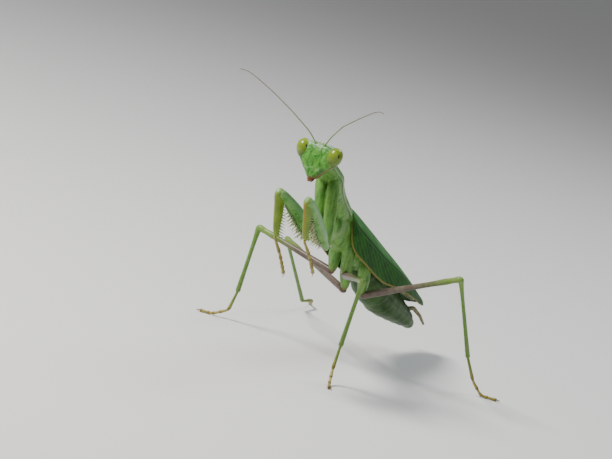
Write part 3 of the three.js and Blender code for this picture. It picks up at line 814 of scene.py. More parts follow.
# Rows [y, up, down, half width] of the lip and of a jaw, from the root down.
LIP_ROWS = [
    (-0.25, 0.15, 0.15, 0.25),
    (0.0, 0.2, 0.2, 0.42),
    (0.2, 0.18, 0.2, 0.34),
    (0.36, 0.08, 0.08, 0.16),
]
JAW_ROWS = [
    (-0.05, 0.2, 0.2, 0.16),
    (0.2, 0.28, 0.26, 0.24),
    (0.45, 0.2, 0.2, 0.17),
    (0.6, 0.06, 0.06, 0.06),
]
PALPS = [
    [(0.4, -0.6, -3.6), (0.5, -0.9, -3.95), (0.38, -1.1, -4.2), (0.18, -1.15, -4.4)],
    [(0.25, -0.4, -3.7), (0.3, -0.5, -4.05), (0.2, -0.75, -4.25), (0.1, -0.95, -4.4)],
]
PALP_RADIUS = 0.085
lip_frame = HEAD @ joint_frame((0, -1.1, -3.9), (0, -0.1, -1), (0, -1, 0))
mouth_meshes = [skin_mesh("lip", placed(lip_frame, ovals(LIP_ROWS, 24, 24)))]
for side in (1, -1):
    jaw_frame = HEAD @ joint_frame((side * 0.26, -0.75, -3.75), (-side * 0.35, -0.2, -1), (0, -1, 0))
    mouth_meshes.append(skin_mesh("jaw", placed(jaw_frame, ovals(JAW_ROWS, 24, 20))))
    for palp in PALPS:
        corners = np.array(palp) * (side, 1, 1)
        steps = np.linspace(0, 3, 36)
        line = np.stack([np.interp(steps, range(4), corners[:, k]) for k in range(3)], axis=-1)
        swell = PALP_RADIUS + 0.03 * np.abs(np.sin(steps * math.pi))
        mouth_meshes.append(skin_mesh("palp", placed(HEAD, tube_rings(line, swell, (0.3, 1, 0.1), 12))))
add_piece("mouth", joined_mesh("mouth", mouth_meshes), mouth_material, "mouthparts", "mouthparts")

# ---- Feelers ----
# Threads of about seventy short beads, green at the root and brown outward, each bead a little
# wider at its outer end. Each stands in a thicker root joint of its own.


def end_tree(tree, points, instance, aim, scale, finish, output):
    """Ends a tree: an instance on each point, aimed and sized, then made real, smooth and painted."""
    turned = add_node(tree, "FunctionNodeAlignRotationToVector", {"Vector": aim}, axis="Z")
    turning = turned.outputs["Rotation"]
    settings = {"Points": points, "Instance": instance, "Rotation": turning, "Scale": scale}
    spread = add_node(tree, "GeometryNodeInstanceOnPoints", settings)
    real = add_node(tree, "GeometryNodeRealizeInstances", {"Geometry": spread.outputs["Instances"]})
    smooth = add_node(tree, "GeometryNodeSetShadeSmooth", {"Geometry": real.outputs["Geometry"]})
    settings = {"Geometry": smooth.outputs["Geometry"], "Material": finish}
    painted = add_node(tree, "GeometryNodeSetMaterial", settings)
    add_node(tree, "NodeGroupOutput", {output: painted.outputs["Geometry"]})
    return tree


def make_bead_tree():
    """Beads along a line of edges, from the first point to the last."""
    sizes = {"Bead Length": "Float", "Root Radius": "Float", "Tip Radius": "Float"}
    inputs = {"Thread": "Geometry", **sizes, "Finish": "Material"}
    tree, entry = new_tree("beads_on_a_thread", "GeometryNodeTree", inputs, {"Beads": "Geometry"})
    length = entry["Bead Length"]
    curve = add_node(tree, "GeometryNodeMeshToCurve", {"Mesh": entry["Thread"]}).outputs["Curve"]
    spaced = add_node(tree, "GeometryNodeResampleCurve", {"Curve": curve, "Length": length}, mode="LENGTH")
    cone = {"Vertices": 10, "Side Segments": 1, "Radius Top": 1.0, "Radius Bottom": 0.78, "Depth": 1.0}
    bead = add_node(tree, "GeometryNodeMeshCone", cone).outputs["Mesh"]
    factor = add_node(tree, "GeometryNodeSplineParameter").outputs["Factor"]
    ends = {0: factor, 2: entry["Root Radius"], 3: entry["Tip Radius"]}
    width = add_node(tree, "ShaderNodeMix", ends).outputs[0]
    longer = add_node(tree, "ShaderNodeMath", {0: length, 1: 1.08}, operation="MULTIPLY")
    scale = add_node(tree, "ShaderNodeCombineXYZ", {"X": width, "Y": width, "Z": longer.outputs["Value"]})
    tangent = add_node(tree, "GeometryNodeInputTangent").outputs["Tangent"]
    points, size = spaced.outputs["Curve"], scale.outputs["Vector"]
    return end_tree(tree, points, bead, tangent, size, entry["Finish"], "Beads")


BEADS = make_bead_tree()


def grown(obj, tree, settings):
    """An object whose mesh is what a tree grows on it, with the tree's named inputs set."""
    growth = obj.modifiers.new(tree.name, "NODES")
    growth.node_group = tree
    for socket in tree.interface.items_tree:
        if socket.name in settings:
            growth[socket.identifier] = settings[socket.name]
    return made_plain(obj)


def smooth_path(corners, step, soften):
    """Evenly spaced points along a bent line, whose corners are rounded over a length."""
    corners = np.asarray(corners, float)
    lengths = np.r_[0, np.cumsum(np.linalg.norm(np.diff(corners, axis=0), axis=1))]
    count = max(int(lengths[-1] / step), 4)
    at = np.linspace(0, lengths[-1], count)
    line = np.stack([np.interp(at, lengths, corners[:, k]) for k in range(3)], axis=-1)
    reach = int(soften / step)
    if reach:
        kernel = np.hanning(2 * reach + 3)[1:-1]
        kernel /= kernel.sum()
        start = 2 * line[0] - line[reach:0:-1]
        finish = 2 * line[-1] - line[-2 : -reach - 2 : -1]
        padded = np.vstack([start, line, finish])
        line = np.stack([np.convolve(padded[:, k], kernel, "valid") for k in range(3)], axis=-1)
    return line


def thread_of_beads(name, line, bead_length, root_radius, tip_radius, material):
    mesh = bpy.data.meshes.new(name)
    mesh.from_pydata((line / METRE).tolist(), [(i, i + 1) for i in range(len(line) - 1)], [])
    lengths = {"Bead Length": bead_length, "Root Radius": root_radius, "Tip Radius": tip_radius}
    settings = {size_name: size / METRE for size_name, size in lengths.items()}
    return grown(add_object(name, mesh), BEADS, {**settings, "Finish": material})


ANTENNA_PATH = [
    (0.6, -0.55, 0.95),
    (0.85, -0.75, 1.3),
    (1.75, -1.6, 2.6),
    (4.1, -3.9, 4.9),
    (6.7, -5.4, 6.75),
    (9.2, -7, 8.35),
    (10.5, -7.8, 9),
    (11.3, -8.35, 9),
]
# Length of a bead, and half its thickness at the root and at the tip.
ANTENNA_BEAD = (0.22, 0.1, 0.048)
# Rows [y, up, down, half width] of the first joint, the scape.
SCAPE_ROWS = [
    (-0.2, 0.2, 0.2, 0.2),
    (0.0, 0.24, 0.24, 0.24),
    (0.22, 0.22, 0.22, 0.22),
    (0.42, 0.15, 0.15, 0.15),
    (0.5, 0.08, 0.08, 0.08),
]
feeler_material = (
    Finish("feeler_cuticle", 0.5, 0.1, blotch=2500)
    .ground("outward", (0.12, 0.26, 0.05), (0.13, 0.08, 0.04))
    .lay("Blotch", (0.26, 0.27, 0.14), 0.3)
    .done()
)
for side_name, side in SIDES:
    line = placed(HEAD, smooth_path(np.array(ANTENNA_PATH) * (side, 1, 1), 0.1, 1.0))
    antenna = thread_of_beads(f"antenna_{side_name}", line, *ANTENNA_BEAD, feeler_material)
    root_distance = np.linalg.norm(vertices(antenna.data) - line[0], axis=1)
    set_mask(antenna.data, "outward", rise(root_distance, 3, 10))
    settle(antenna, "feeler", f"antenna_{side_name}")
    root_x, root_y, root_z = ANTENNA_PATH[0]
    scape_frame = HEAD @ joint_frame((side * root_x, root_y, root_z), (side * 0.3, -0.25, 0.45), (1, 0, 0))
    scape_mesh = skin_mesh("scape", placed(scape_frame, ovals(SCAPE_ROWS, 20, 20)))
    set_mask(scape_mesh, "outward", 0)
    add_piece(f"scape_{side_name}", scape_mesh, feeler_material, "feeler")

# ---- Fore legs ----
# The hunting legs. The thick femur has rows of spines under it, the tibia snaps shut against
# them with its own rows and an end claw, and a thin five-jointed foot hangs from its outer side.


def make_spine_tree():
    """A tapered spine on every point, along its own aim and of its own size."""
    inputs = {"Roots": "Geometry", "Slenderness": "Float", "Sides": "Int", "Finish": "Material"}
    tree, entry = new_tree("spines", "GeometryNodeTree", inputs, {"Spines": "Geometry"})
    cone_sizes = {"Side Segments": 3, "Radius Top": 0.06, "Radius Bottom": 1.0, "Depth": 1.0}
    cone = add_node(tree, "GeometryNodeMeshCone", {"Vertices": entry["Sides"], **cone_sizes})
    place = add_node(tree, "GeometryNodeInputPosition").outputs["Position"]
    height = add_node(tree, "ShaderNodeSeparateXYZ", {"Vector": place}).outputs["Z"]
    tip = {"Geometry": cone.outputs["Mesh"], "Name": "tip", "Value": height}
    spine = add_node(tree, "GeometryNodeStoreNamedAttribute", tip, data_type="FLOAT", domain="POINT")
    read = {}
    for attribute, sort in (("aim", "FLOAT_VECTOR"), ("size", "FLOAT")):
        reader = add_node(tree, "GeometryNodeInputNamedAttribute", {"Name": attribute}, data_type=sort)
        read[attribute] = reader.outputs["Attribute"]
    girth = {0: read["size"], 1: entry["Slenderness"]}
    width = add_node(tree, "ShaderNodeMath", girth, operation="MULTIPLY").outputs["Value"]
    scale = add_node(tree, "ShaderNodeCombineXYZ", {"X": width, "Y": width, "Z": read["size"]})
    geometry, size = spine.outputs["Geometry"], scale.outputs["Vector"]
    return end_tree(tree, entry["Roots"], geometry, read["aim"], size, entry["Finish"], "Spines")


SPINES = make_spine_tree()


def planted(limb_frame, at, aim, size):
    """One spine: its root, aim and length, from a place and an aim in its limb's frame."""
    return limb_frame @ Vector(at), limb_frame.to_3x3() @ Vector(aim), size


def grow_spines(name, spines, slenderness, sides, slot):
    """A piece of spines from their roots, aims and lengths."""
    roots, aims, sizes = zip(*spines)
    mesh = bpy.data.meshes.new(name)
    mesh.from_pydata((np.array(roots) / METRE).tolist(), [], [])
    aim = mesh.attributes.new("aim", "FLOAT_VECTOR", "POINT")
    aim.data.foreach_set("vector", np.array(aims, np.float32).ravel())
    size = mesh.attributes.new("size", "FLOAT", "POINT")
    size.data.foreach_set("value", np.array(sizes, np.float32) / METRE)
    settings = {"Slenderness": slenderness, "Sides": sides, "Finish": spine_material}
    settle(grown(add_object(name, mesh), SPINES, settings), slot)


# Rows [y, up, down, half width] of the femur and the tibia, from the joint outward.
FORE_FEMUR_ROWS = [
    (-0.35, 0.3, 0.3, 0.3),
    (0.2, 0.5, 0.5, 0.45),
    (1.3, 0.62, 0.75, 0.55),
    (2.5, 0.85, 1.05, 0.64),
    (5.1, 1.08, 1.4, 0.8),
    (8.7, 1.05, 1.0, 0.72),
    (10.6, 0.9, 0.78, 0.7),
    (11.8, 0.78, 0.95, 0.76),
    (12.6, 0.6, 0.98, 0.72),
    (13.05, 0.4, 0.85, 0.55),
    (13.25, 0.2, 0.5, 0.28),
]
FORE_TIBIA_ROWS = [
    (-0.55, 0.2, 0.35, 0.3),
    (-0.1, 0.55, 0.85, 0.56),
    (0.6, 0.75, 0.95, 0.6),
    (1.6, 0.82, 0.82, 0.56),
    (3.5, 0.78, 0.68, 0.52),
    (5, 0.62, 0.55, 0.48),
    (6, 0.46, 0.4, 0.44),
    (6.7, 0.42, 0.2, 0.36),
    (7.0, 0.3, 0.0, 0.2),
]

# Stops run round the leg, from one flank over the back to the belly, or along it.
KNEE_GREEN = (0.22, 0.42, 0.14)
femur_material = (
    Finish("fore_femur_cuticle", 0.38, 0.15, blotch=700)
    .ground("Blotch", (0.06, 0.23, 0.016), (0.18, 0.41, 0.08))
    # Painted light: the back half of the femur, from flank to flank, is painted paler, as if lit from above.
    .lay("round", (0.24, 0.46, 0.2), stops=[(0.0, 0.8), (0.5, 0.8), (0.57, 0.0), (0.93, 0.0), (1.0, 0.8)])
    # Painted shade: a near-black band round the belly, under the spines.
    .lay("round", (0.008, 0.055, 0.004), stops=[(0.6, 0.0), (0.7, 0.8), (0.8, 0.8), (0.9, 0.0)])
    .lay("Streak", (0.09, 0.27, 0.04), 0.3)
    .lay("along", KNEE_GREEN, stops=[(0.8, 0.0), (0.93, 0.8)])
    .done()
)
tibia_material = (
    Finish("fore_tibia_cuticle", 0.38, 0.15, blotch=900)
    .ground("Blotch", (0.12, 0.2, 0.006), (0.18, 0.28, 0.015))
    .lay("round", (0.32, 0.17, 0.012), "tan", [(0.69, 0.0), (0.73, 0.9), (0.77, 0.9), (0.8, 0.0)])
    .lay("round", (0.13, 0.32, 0.03), stops=[(0.06, 0.0), (0.2, 0.8), (0.3, 0.8), (0.44, 0.0)])
    .lay("along", KNEE_GREEN, stops=[(0.1, 0.8), (0.2, 0.0)])
    .done()
)
spine_finish = Finish("spine_horn", 0.3, 0.4, blotch=2500)
spine_tip = spine_finish.ramp("tip", [(0.75, 0.0), (1.0, 1.0)])
spine_material = (
    spine_finish.ground(spine_tip, (0.5, 0.55, 0.28), (0.14, 0.07, 0.02))
    .lay("Blotch", (0.55, 0.55, 0.35), 0.2)
    .done()
)
foot_material = (
    Finish("foot_cuticle", 0.45, 0.2, blotch=2600)
    .ground("Blotch", (0.24, 0.19, 0.03), (0.4, 0.34, 0.09))
    .lay("knuckle", (0.12, 0.06, 0.012), 0.75)
    .lay("along", (0.11, 0.2, 0.015), "fresh", [(0.2, 0.9), (0.46, 0.0)])
    .done()
)

# Ends of the five foot joints, as fractions of the foot's length.
FOOT_JOINTS = (0.44, 0.62, 0.75, 0.85, 1.0)
# Each joint's thickness at its root, how it widens, and how it is pinched at its end.
FOOT_JOINT_SHAPE = (0.72, 0.38, 0.3)
FOOT_SIDES = 18
CLAW_RADII = (0.085, 0.02)
# Each claw's bend, from the foot's end: [forward, outward, upward].
CLAW_BEND = [(-0.1, 0.08, 0), (0.3, 0.22, 0), (0.55, 0.38, -0.06)]


def foot_meshes(line, up, thick, growth):
    """A foot of five joints along a line and its two claws, each with its knuckle mask.

    None of it goes below the floor, on which the soles are pressed flat.
    """
    at = np.linspace(0, 1, len(line))
    swell, knuckle = np.zeros((2, len(line)))
    thin, flare, pinch = FOOT_JOINT_SHAPE
    for begin, end in zip((0,) + FOOT_JOINTS[:-1], FOOT_JOINTS):
        inside = (at >= begin) & (at <= end)
        f = (at[inside] - begin) / (end - begin)
        swell[inside] = thin + flare * f**2 - pinch * rise(f, 0.9, 1)
        knuckle[inside] = rise(f, 0.72, 0.92)
    radii = thick * swell * (1 + growth * at)
    radii[[0, -1]] *= 0.5
    upward = np.asarray(up, float)
    forward = line[-1] - line[-3]
    forward /= np.linalg.norm(forward)
    outward = np.cross(forward, upward)
    outward /= np.linalg.norm(outward)
    shells = [(tube_rings(line, radii, up, FOOT_SIDES), np.r_[np.repeat(knuckle, FOOT_SIDES), 0, 1])]
    for side in (1, -1):
        bend = [line[-1] + forward * a + outward * side * b + upward * c for a, b, c in CLAW_BEND]
        hook = smooth_path(bend, 0.04, 0.16)
        shells.append((tube_rings(hook, np.linspace(*CLAW_RADII, len(hook)), upward, 8), 1))
    for rings, _ in shells:
        rings[:, :, 2] = np.maximum(rings[:, :, 2], 0)
    return [(skin_mesh("foot", rings), masks) for rings, masks in shells]


def add_foot(leg_name, meshes, fresh):
    """The foot and its claws as one piece, fresh being how green its long first joint is."""
    for i, (mesh, masks) in enumerate(meshes):
        set_mask(mesh, "knuckle", masks)
        set_mask(mesh, "fresh", 0 if i else fresh)
    whole = joined_mesh(f"foot_{leg_name}", [mesh for mesh, _ in meshes])
    add_piece(f"foot_{leg_name}", whole, foot_material, "foot", f"tarsus_{leg_name}")


# Rows of spines: side, how many, the first one's place along the femur, two lengths in turn.
FEMUR_SPINES = [(1, 11, 2.6, (1.05, 1.05)), (-1, 15, 2.4, (0.8, 1.3))]
FEMUR_SPINES_END = 8.6
FEMUR_SPINES_APART = 0.38
# Lengths of the long spines in the middle row, from the hip.
MIDDLE_SPINES = (0.9, 1.2, 1.6, 1.1)
MIDDLE_SPINES_START = 2.6
MIDDLE_SPINES_STEP = 0.75
# Rows of spines: side and how many, growing longer toward the end claw.
TIBIA_SPINES = [(1, 12), (-1, 15)]
TIBIA_SPINES_START = 1.9
TIBIA_SPINES_END = 6.5
TIBIA_SPINES_APART = 0.26
TIBIA_SPINE_LENGTH = 0.55
TIBIA_SPINE_GROWTH = 0.05
# How deep a spine's root is sunk.
ROOT_DEPTH = 0.12
PEGS = 9
PEGS_START = 3.6
PEGS_STEP = 0.85
PEG_LENGTH = 0.16
HOOK_PATH = [(0, 5.9, 0.2), (0, 6.7, 0.45), (0, 7.3, 0.8), (0, 7.35, 1.6)]
FOOT_SAG = Vector((0.15, 0.25, 0.1)) * 0.6

for leg_name in ("fore_left", "fore_right"):
    leg = LEGS[leg_name]
    _, elbow, knee, _ = leg_joints(leg_name)
    femur_way = bearing(*leg["femur"])
    tibia_way = bearing(*leg["tibia"])
    femur_back = -(tibia_way - femur_way * tibia_way.dot(femur_way))
    tibia_inside = -(femur_way - tibia_way * femur_way.dot(tibia_way))
    femur_frame = joint_frame(elbow, femur_way, femur_back)
    tibia_frame = joint_frame(knee, tibia_way, tibia_inside)

    femur_mesh = skin_mesh(f"femur_{leg_name}", placed(femur_frame, ovals(FORE_FEMUR_ROWS, 110, 48)))
    add_piece(f"femur_{leg_name}", femur_mesh, femur_material, "green_cuticle", f"femur_{leg_name}")

    hook_line = smooth_path(HOOK_PATH, 0.05, 0.45)
    hook_size = np.linspace(0.3, 0.03, len(hook_line))
    hook = tube_rings(hook_line, np.stack([hook_size * 0.8, hook_size], -1), (1, 0, 0), 16)
    shells = [ovals(FORE_TIBIA_ROWS, 90, 40), hook]
    tibia_meshes = [skin_mesh("tibia", placed(tibia_frame, shell)) for shell in shells]
    tibia_mesh = joined_mesh(f"tibia_{leg_name}", tibia_meshes)
    set_mask(tibia_mesh, "tan", leg["tan"])
    add_piece(f"tibia_{leg_name}", tibia_mesh, tibia_material, "fore_tibia", f"tibia_{leg_name}")

    spines = []
    for side, count, first, lengths in FEMUR_SPINES:
        for k in range(count):
            y = first + (FEMUR_SPINES_END - first) * k / (count - 1)
            root = (side * FEMUR_SPINES_APART, y, ROOT_DEPTH - profile(FORE_FEMUR_ROWS, y)[0, 1])
            spines.append(planted(femur_frame, root, (side * 0.22, 0.22, -1), lengths[k % 2]))
    for k, length in enumerate(MIDDLE_SPINES):
        y = MIDDLE_SPINES_START + MIDDLE_SPINES_STEP * k
        root = (0, y, ROOT_DEPTH - profile(FORE_FEMUR_ROWS, y)[0, 1])
        spines.append(planted(femur_frame, root, (0.05, 0.3, -1), length))
    for side, count in TIBIA_SPINES:
        for k in range(count):
            y = TIBIA_SPINES_START + (TIBIA_SPINES_END - TIBIA_SPINES_START) * k / (count - 1)
            root = (side * TIBIA_SPINES_APART, y, profile(FORE_TIBIA_ROWS, y)[0, 0] - ROOT_DEPTH)
            length = TIBIA_SPINE_LENGTH + TIBIA_SPINE_GROWTH * k
            spines.append(planted(tibia_frame, root, (side * 0.18, 0.55, 1), length))
    # Low pale pegs in a row along each flank, above the spines.
    pegs = []
    for side in (1, -1):
        for k in range(PEGS):
            y = PEGS_START + PEGS_STEP * k
            _, down, wide = profile(FORE_FEMUR_ROWS, y)[0]
            root = (side * wide * 0.94, y, -down * 0.3)
            pegs.append(planted(femur_frame, root, (side, 0, -0.3), PEG_LENGTH))
    grow_spines(f"pegs_{leg_name}", pegs, 0.6, 12, "green_cuticle")
    grow_spines(f"spines_{leg_name}", spines, 0.15, 10, "fore_tibia")

    root = tibia_frame @ Vector((0, LENGTHS["fore"]["tibia"] - 0.1, -0.15))
    foot_end = root + bearing(*leg["tarsus"]) * (LENGTHS["fore"]["tarsus"] + 0.1)
    foot_line = smooth_path([root, root + (foot_end - root) * 0.5 + FOOT_SAG, foot_end], 0.06, 1.2)
    add_foot(leg_name, foot_meshes(foot_line, (1, 0, 0.2), 0.25, 0.2), 0)

# ---- Walking legs ----
# Four slender legs, each one unbroken tube from the hip's end over the knee to the ankle: mauve
# brown on the thigh, green at the knee and down the shin. The feet rest flat on their soles.

# Half thickness of the thigh and of the shin.
WALKING_THICKNESS = {"mid": (0.52, 0.4), "hind": (0.52, 0.37)}
# Height of the toes' middle line, and the length of toe that slopes down to it.
SOLE = 0.27
TOE_SLOPE = 2.6
HAIRS = 34
HAIR_LENGTH = 0.34
SPUR_LENGTH = 0.6
# Colours along the leg, from the hip's end to the ankle.
LEG_COLOURS = [
    (0.0, (0.07, 0.018, 0.008)),
    (0.03, (0.08, 0.042, 0.034)),
    (0.12, (0.095, 0.06, 0.052)),
    (0.27, (0.095, 0.068, 0.048)),
    (0.36, (0.1, 0.115, 0.035)),
    (0.43, (0.12, 0.2, 0.025)),
    # Painted highlight: the brightest, yellowest green, at the knee.
    (0.5, (0.16, 0.27, 0.04)),
    (0.6, (0.09, 0.22, 0.012)),
    (1.0, (0.09, 0.19, 0.01)),
]
walking_finish = Finish("walking_leg_cuticle", 0.4, 0.12, blotch=1100)
walking_finish.colour = walking_finish.ramp("along", LEG_COLOURS)
walking_material = walking_finish.lay("Blotch", (0.24, 0.26, 0.17), 0.2).done()

for leg_name in ("mid_left", "mid_right", "hind_left", "hind_right"):
    kind = leg_name.split("_")[0]
    leg, size = LEGS[leg_name], LENGTHS[kind]
    _, trochanter, knee, ankle = leg_joints(leg_name)
    thigh, shin = WALKING_THICKNESS[kind]
    start = trochanter - bearing(*leg["coxa"]) * 0.3
    plane = (knee - trochanter).cross(ankle - knee).normalized()
    leg_line = smooth_path([start, trochanter, knee, ankle], 0.07, 0.55)
    distance = np.r_[0, np.cumsum(np.linalg.norm(np.diff(leg_line, axis=0), axis=1))]
    whole = distance[-1]
    bend = size["femur"] - 0.1
    # Half thickness at places from the hip's end: swollen at the hip, the knee and the ankle.
    girth_rows = [
        (0, 0.3),
        (0.3, 0.55),
        (1.2, thigh * 1.08),
        (bend * 0.3, thigh * 1.02),
        (bend * 0.7, thigh * 0.8),
        (bend - 2.4, thigh * 0.95),
        (bend - 1.1, thigh * 0.84),
        (bend - 0.2, thigh * 0.98),
        (bend + 0.7, shin * 1.15),
        (bend + 2, shin * 0.92),
        (bend + (whole - bend) * 0.6, shin * 0.82),
        (whole - 0.8, shin * 0.95),
        (whole - 0.15, shin * 0.85),
        (whole, shin * 0.45),
    ]
    girth = profile(girth_rows, distance)[:, 0]
    limb_rings = tube_rings(leg_line, np.stack([girth, girth * 0.93], -1), plane)
    limb_mesh = skin_mesh(f"leg_{leg_name}", limb_rings)
    nodes = (f"femur_{leg_name}", f"tibia_{leg_name}")
    add_piece(f"leg_{leg_name}", limb_mesh, walking_material, "walking_leg", *nodes)

    heel = ankle + bearing(*leg["basitarsus"]) * size["basitarsus"]
    level = bearing(leg["toes"], 0)
    ball = heel + level * math.sqrt(TOE_SLOPE**2 - (heel.z - SOLE) ** 2)
    ball.z = SOLE
    toe_tip = ball + level * (size["toes"] - TOE_SLOPE)
    foot_line = smooth_path([ankle, heel, ball, toe_tip], 0.06, 0.9)
    add_foot(leg_name, foot_meshes(foot_line, (0, 0, 1), 0.29, -0.12), 1)

    # Short stiff hairs wind round the shin, and a pair of spurs stands at its end.
    shin_frame = joint_frame(knee, (ankle - knee).normalized(), plane)
    hairs = []
    for k in range(HAIRS):
        y = 1.5 + (size["tibia"] - 2) * k / (HAIRS - 1)
        out, over = math.cos(k * 2.4), math.sin(k * 2.4)
        root = (out * shin * 0.75, y, over * shin * 0.75)
        hairs.append(planted(shin_frame, root, (out * 0.6, 0.8, over * 0.6), HAIR_LENGTH))
    for side in (1, -1):
        root = (side * 0.12, size["tibia"] - 0.25, side * 0.12)
        hairs.append(planted(shin_frame, root, (side * 0.5, 1, side * 0.5), SPUR_LENGTH))
    grow_spines(f"hairs_{leg_name}", hairs, 0.06, 6, "walking_leg")

# ---- Abdomen and cerci ----
# A soft bag of ring plates, each tucked under the one before it, deepest in the middle, with a
# pleat along the side. Two short beaded tail feelers stand out under the wing tips.

# Rows [y, top, bottom, half width].
ABDOMEN_ROWS = [
    (11.6, -1.8, -4.6, 1.5),
    (12.5, -1.6, -5.4, 1.95),
    (15, -1.95, -6.9, 2.5),
    (19, -2.4, -7.8, 2.85),
    (23, -2.5, -7.8, 2.85),
    (27, -2.5, -7.1, 2.6),
    (31, -2.5, -6.2, 2.1),
    (34.5, -2.9, -5.3, 1.5),
    (36.6, -3.3, -4.8, 0.85),
    (37.4, -3.8, -4.3, 0.3),
]
PLATE_ENDS = (14.4, 17.3, 20.3, 23.3, 26.2, 29, 31.4, 33.6)
# How far a plate stands out over the next one, and how deep the side pleat is.
TUCK = 0.17
PLEAT_DEPTH = 0.12


def abdomen_rings():
    first, last = ABDOMEN_ROWS[0][0], ABDOMEN_ROWS[-1][0]
    y = np.linspace(first, last, 260)
    top, bottom, wide = profile(ABDOMEN_ROWS, y).T
    edges = np.array((first,) + PLATE_ENDS + (last,))
    i = np.clip(np.searchsorted(edges, y, side="right") - 1, 0, len(edges) - 2)
    f = (y - edges[i]) / (edges[i + 1] - edges[i])
    step = TUCK * (f**1.6 - 0.5 - 0.9 * rise(f, 0.93, 1))
    step[-12:] = 0
    a = turns(72)
    pleat = -PLEAT_DEPTH * bell(np.sin(a), 0.12)
    x = (wide + step)[:, None] * np.cos(a) * (1 + pleat / 2.5)
    z = ((top + bottom) / 2)[:, None] + ((top - bottom) / 2 + step)[:, None] * np.sin(a)
    return grid(x, y[:, None], z)


# A pale edge at the end of each plate, as far as a colour ramp has room for.
edge_stops = [(0.0, 0.0)]
for end in PLATE_ENDS:
    f = (end - ABDOMEN_ROWS[0][0]) / (ABDOMEN_ROWS[-1][0] - ABDOMEN_ROWS[0][0])
    edge_stops += [(f - 0.03, 0.0), (f - 0.004, 0.4), (f + 0.004, 0.0)]
belly_painted_shade_material = (
    Finish("abdomen_cuticle", 0.48, 0.03, blotch=500, gloss=0.2)
    # Painted shade: the ground is her own green darkened further, for the shade that lies on the abdomen.
    .ground("Blotch", (0.014, 0.052, 0.007), (0.045, 0.105, 0.022))
    .lay("along", (0.12, 0.17, 0.07), stops=edge_stops[:24])
    .done()
)
abdomen_mesh = skin_mesh("abdomen", placed(ABDOMEN, abdomen_rings()))
add_piece("abdomen", abdomen_mesh, belly_painted_shade_material, "green_cuticle", "abdomen")

CERCUS_LENGTH = 4.6
# Length of a bead, and half its thickness at the root and at the tip.
CERCUS_BEAD = (0.42, 0.42, 0.22)
cercus_material = (
    Finish("cercus_cuticle", 0.5, 0.1, blotch=2600)
    .ground("Blotch", (0.18, 0.16, 0.06), (0.32, 0.3, 0.16))
    .done()
)
for side_name, side in SIDES:
    root = Vector((side * 1.1, 33.4, -2.2))
    tip = root + Vector((side * 0.1, 1, -0.12)).normalized() * CERCUS_LENGTH
    bend = root.lerp(tip, 0.5) + Vector((side * 0.25, 0, 0.1))
    inside = root + Vector((-side * 0.3, -1.8, -1.1))
    line = placed(ABDOMEN, smooth_path([inside, root, bend, tip], 0.06, 0.8))
    cercus = thread_of_beads(f"cercus_{side_name}", line, *CERCUS_BEAD, cercus_material)
    settle(cercus, "cercus", f"cercus_{side_name}")

# ---- Wings ----
# Leathery fore wings closed over the back, the left lying over the right, with raised veins and
# a pale thick front edge that hangs low on the flank. Under them the thin hind wings are folded
# like a fan.

# Rows [y, width, depth] along the wing, as shares of the section's own.
TEGMEN_ROWS = [
    (0.35, 0.45, 0.2),
    (0.8, 0.64, 0.55),
    (1.5, 0.78, 0.85),
    (2.6, 0.86, 1.0),
    (5, 0.92, 1.06),
    (10, 0.98, 1.06),
    (15, 1, 1),
    (19, 1, 0.82),
    (23, 0.97, 0.66),
    (28, 0.84, 0.47),
    (32, 0.66, 0.34),
    (35, 0.48, 0.2),
    (36.2, 0.3, 0.1),
    (36.7, 0.1, 0.03),
]
# Section [share of the way, out, down] from the hem on the back to the front edge.
TEGMEN_SECTION = [
    (0.0, 0.3, 0),
    (0.14, 0.9, 0.1),
    (0.28, 1.6, 0.55),
    (0.46, 2.65, 2.0),
    (0.72, 3.15, 3.7),
    (1.0, 3.6, 5.7),
]
TEGMEN_TOP = 0.5
TEGMEN_THICKNESS = 0.1
# How far each hem reaches over the middle of the back.
TEGMEN_OVERLAP = {"left": 0.9, "right": 0.1}
TEGMEN_ROWS_OF_POINTS = 320
TEGMEN_COLUMNS = 130
# Each long vein: its place across the wing at the root and at the tip, and its height.
VEINS = [
    (0.985, 0.99, 0.16),
    (0.52, 0.5, 0.07),
    (0.46, 0.44, 0.1),
    (0.3, 0.22, 0.04),
    (0.16, 0.1, 0.04),
]
# Branches run slantwise from the ridge to the front edge, each over this part of the wing's length.
BRANCH_STARTS = np.linspace(-0.12, 0.84, 19)
BRANCH_REACH = 0.17
BRANCH_FROM = 0.5
BRANCH_TO = 0.97
BRANCH_HEIGHT = 0.04
# Half widths of veins and branches, as fractions of the way across the wing.
VEIN_WIDTH = 0.011
BRANCH_WIDTH = 0.017
# Veins stand this much higher on the surface than their masks' values.
RELIEF_SHARE = 0.6
OVERLAP_REACH = 0.17


def wing_surface(side, rows, section, top, u, v, overlap):
    """Points and normals of a wing: u runs along it, down a column, and v across it."""
    y = rows[0][0] + (rows[-1][0] - rows[0][0]) * u
    wide, deep = profile(rows, y[:, 0]).T[:, :, None]
    out, down = profile(section, v).T
    x = np.maximum(out * wide, 0.3) - overlap * rise(v, OVERLAP_REACH, 0) * wide**0.5
    z = top * wide - down * deep + overlap * 0.12 * (1 - v)
    points = grid(side * x, y, z)
    normal = np.cross(np.gradient(points, axis=0), np.gradient(points, axis=1)) * side
    normal /= np.maximum(np.linalg.norm(normal, axis=2), 1e-9)[:, :, None]
    return points, normal


def wing_mesh(name, points, normal, relief, thickness):
    outer = points + normal * relief[:, :, None] * RELIEF_SHARE
    inner = points - normal * thickness
    return skin_mesh(name, placed(ABDOMEN, np.concatenate([outer, inner[:, ::-1]], axis=1)))


tegmen_looks = {"blotch": 500, "speck": 3500, "bump": 0.35, "depth": 0.05, "gloss": 0.14}
tegmen_finish = Finish("tegmen_leather", 0.44, 0.0, **tegmen_looks)
wing_place = tegmen_finish.add("ShaderNodeUVMap", uv_map="along").outputs["UV"]


def stretched(scale):
    """The wing's own map, drawn out across and along it."""
    inputs = {"Vector": wing_place, "Scale": (*scale, 1)}
    return tegmen_finish.add("ShaderNodeMapping", inputs).outputs["Vector"]


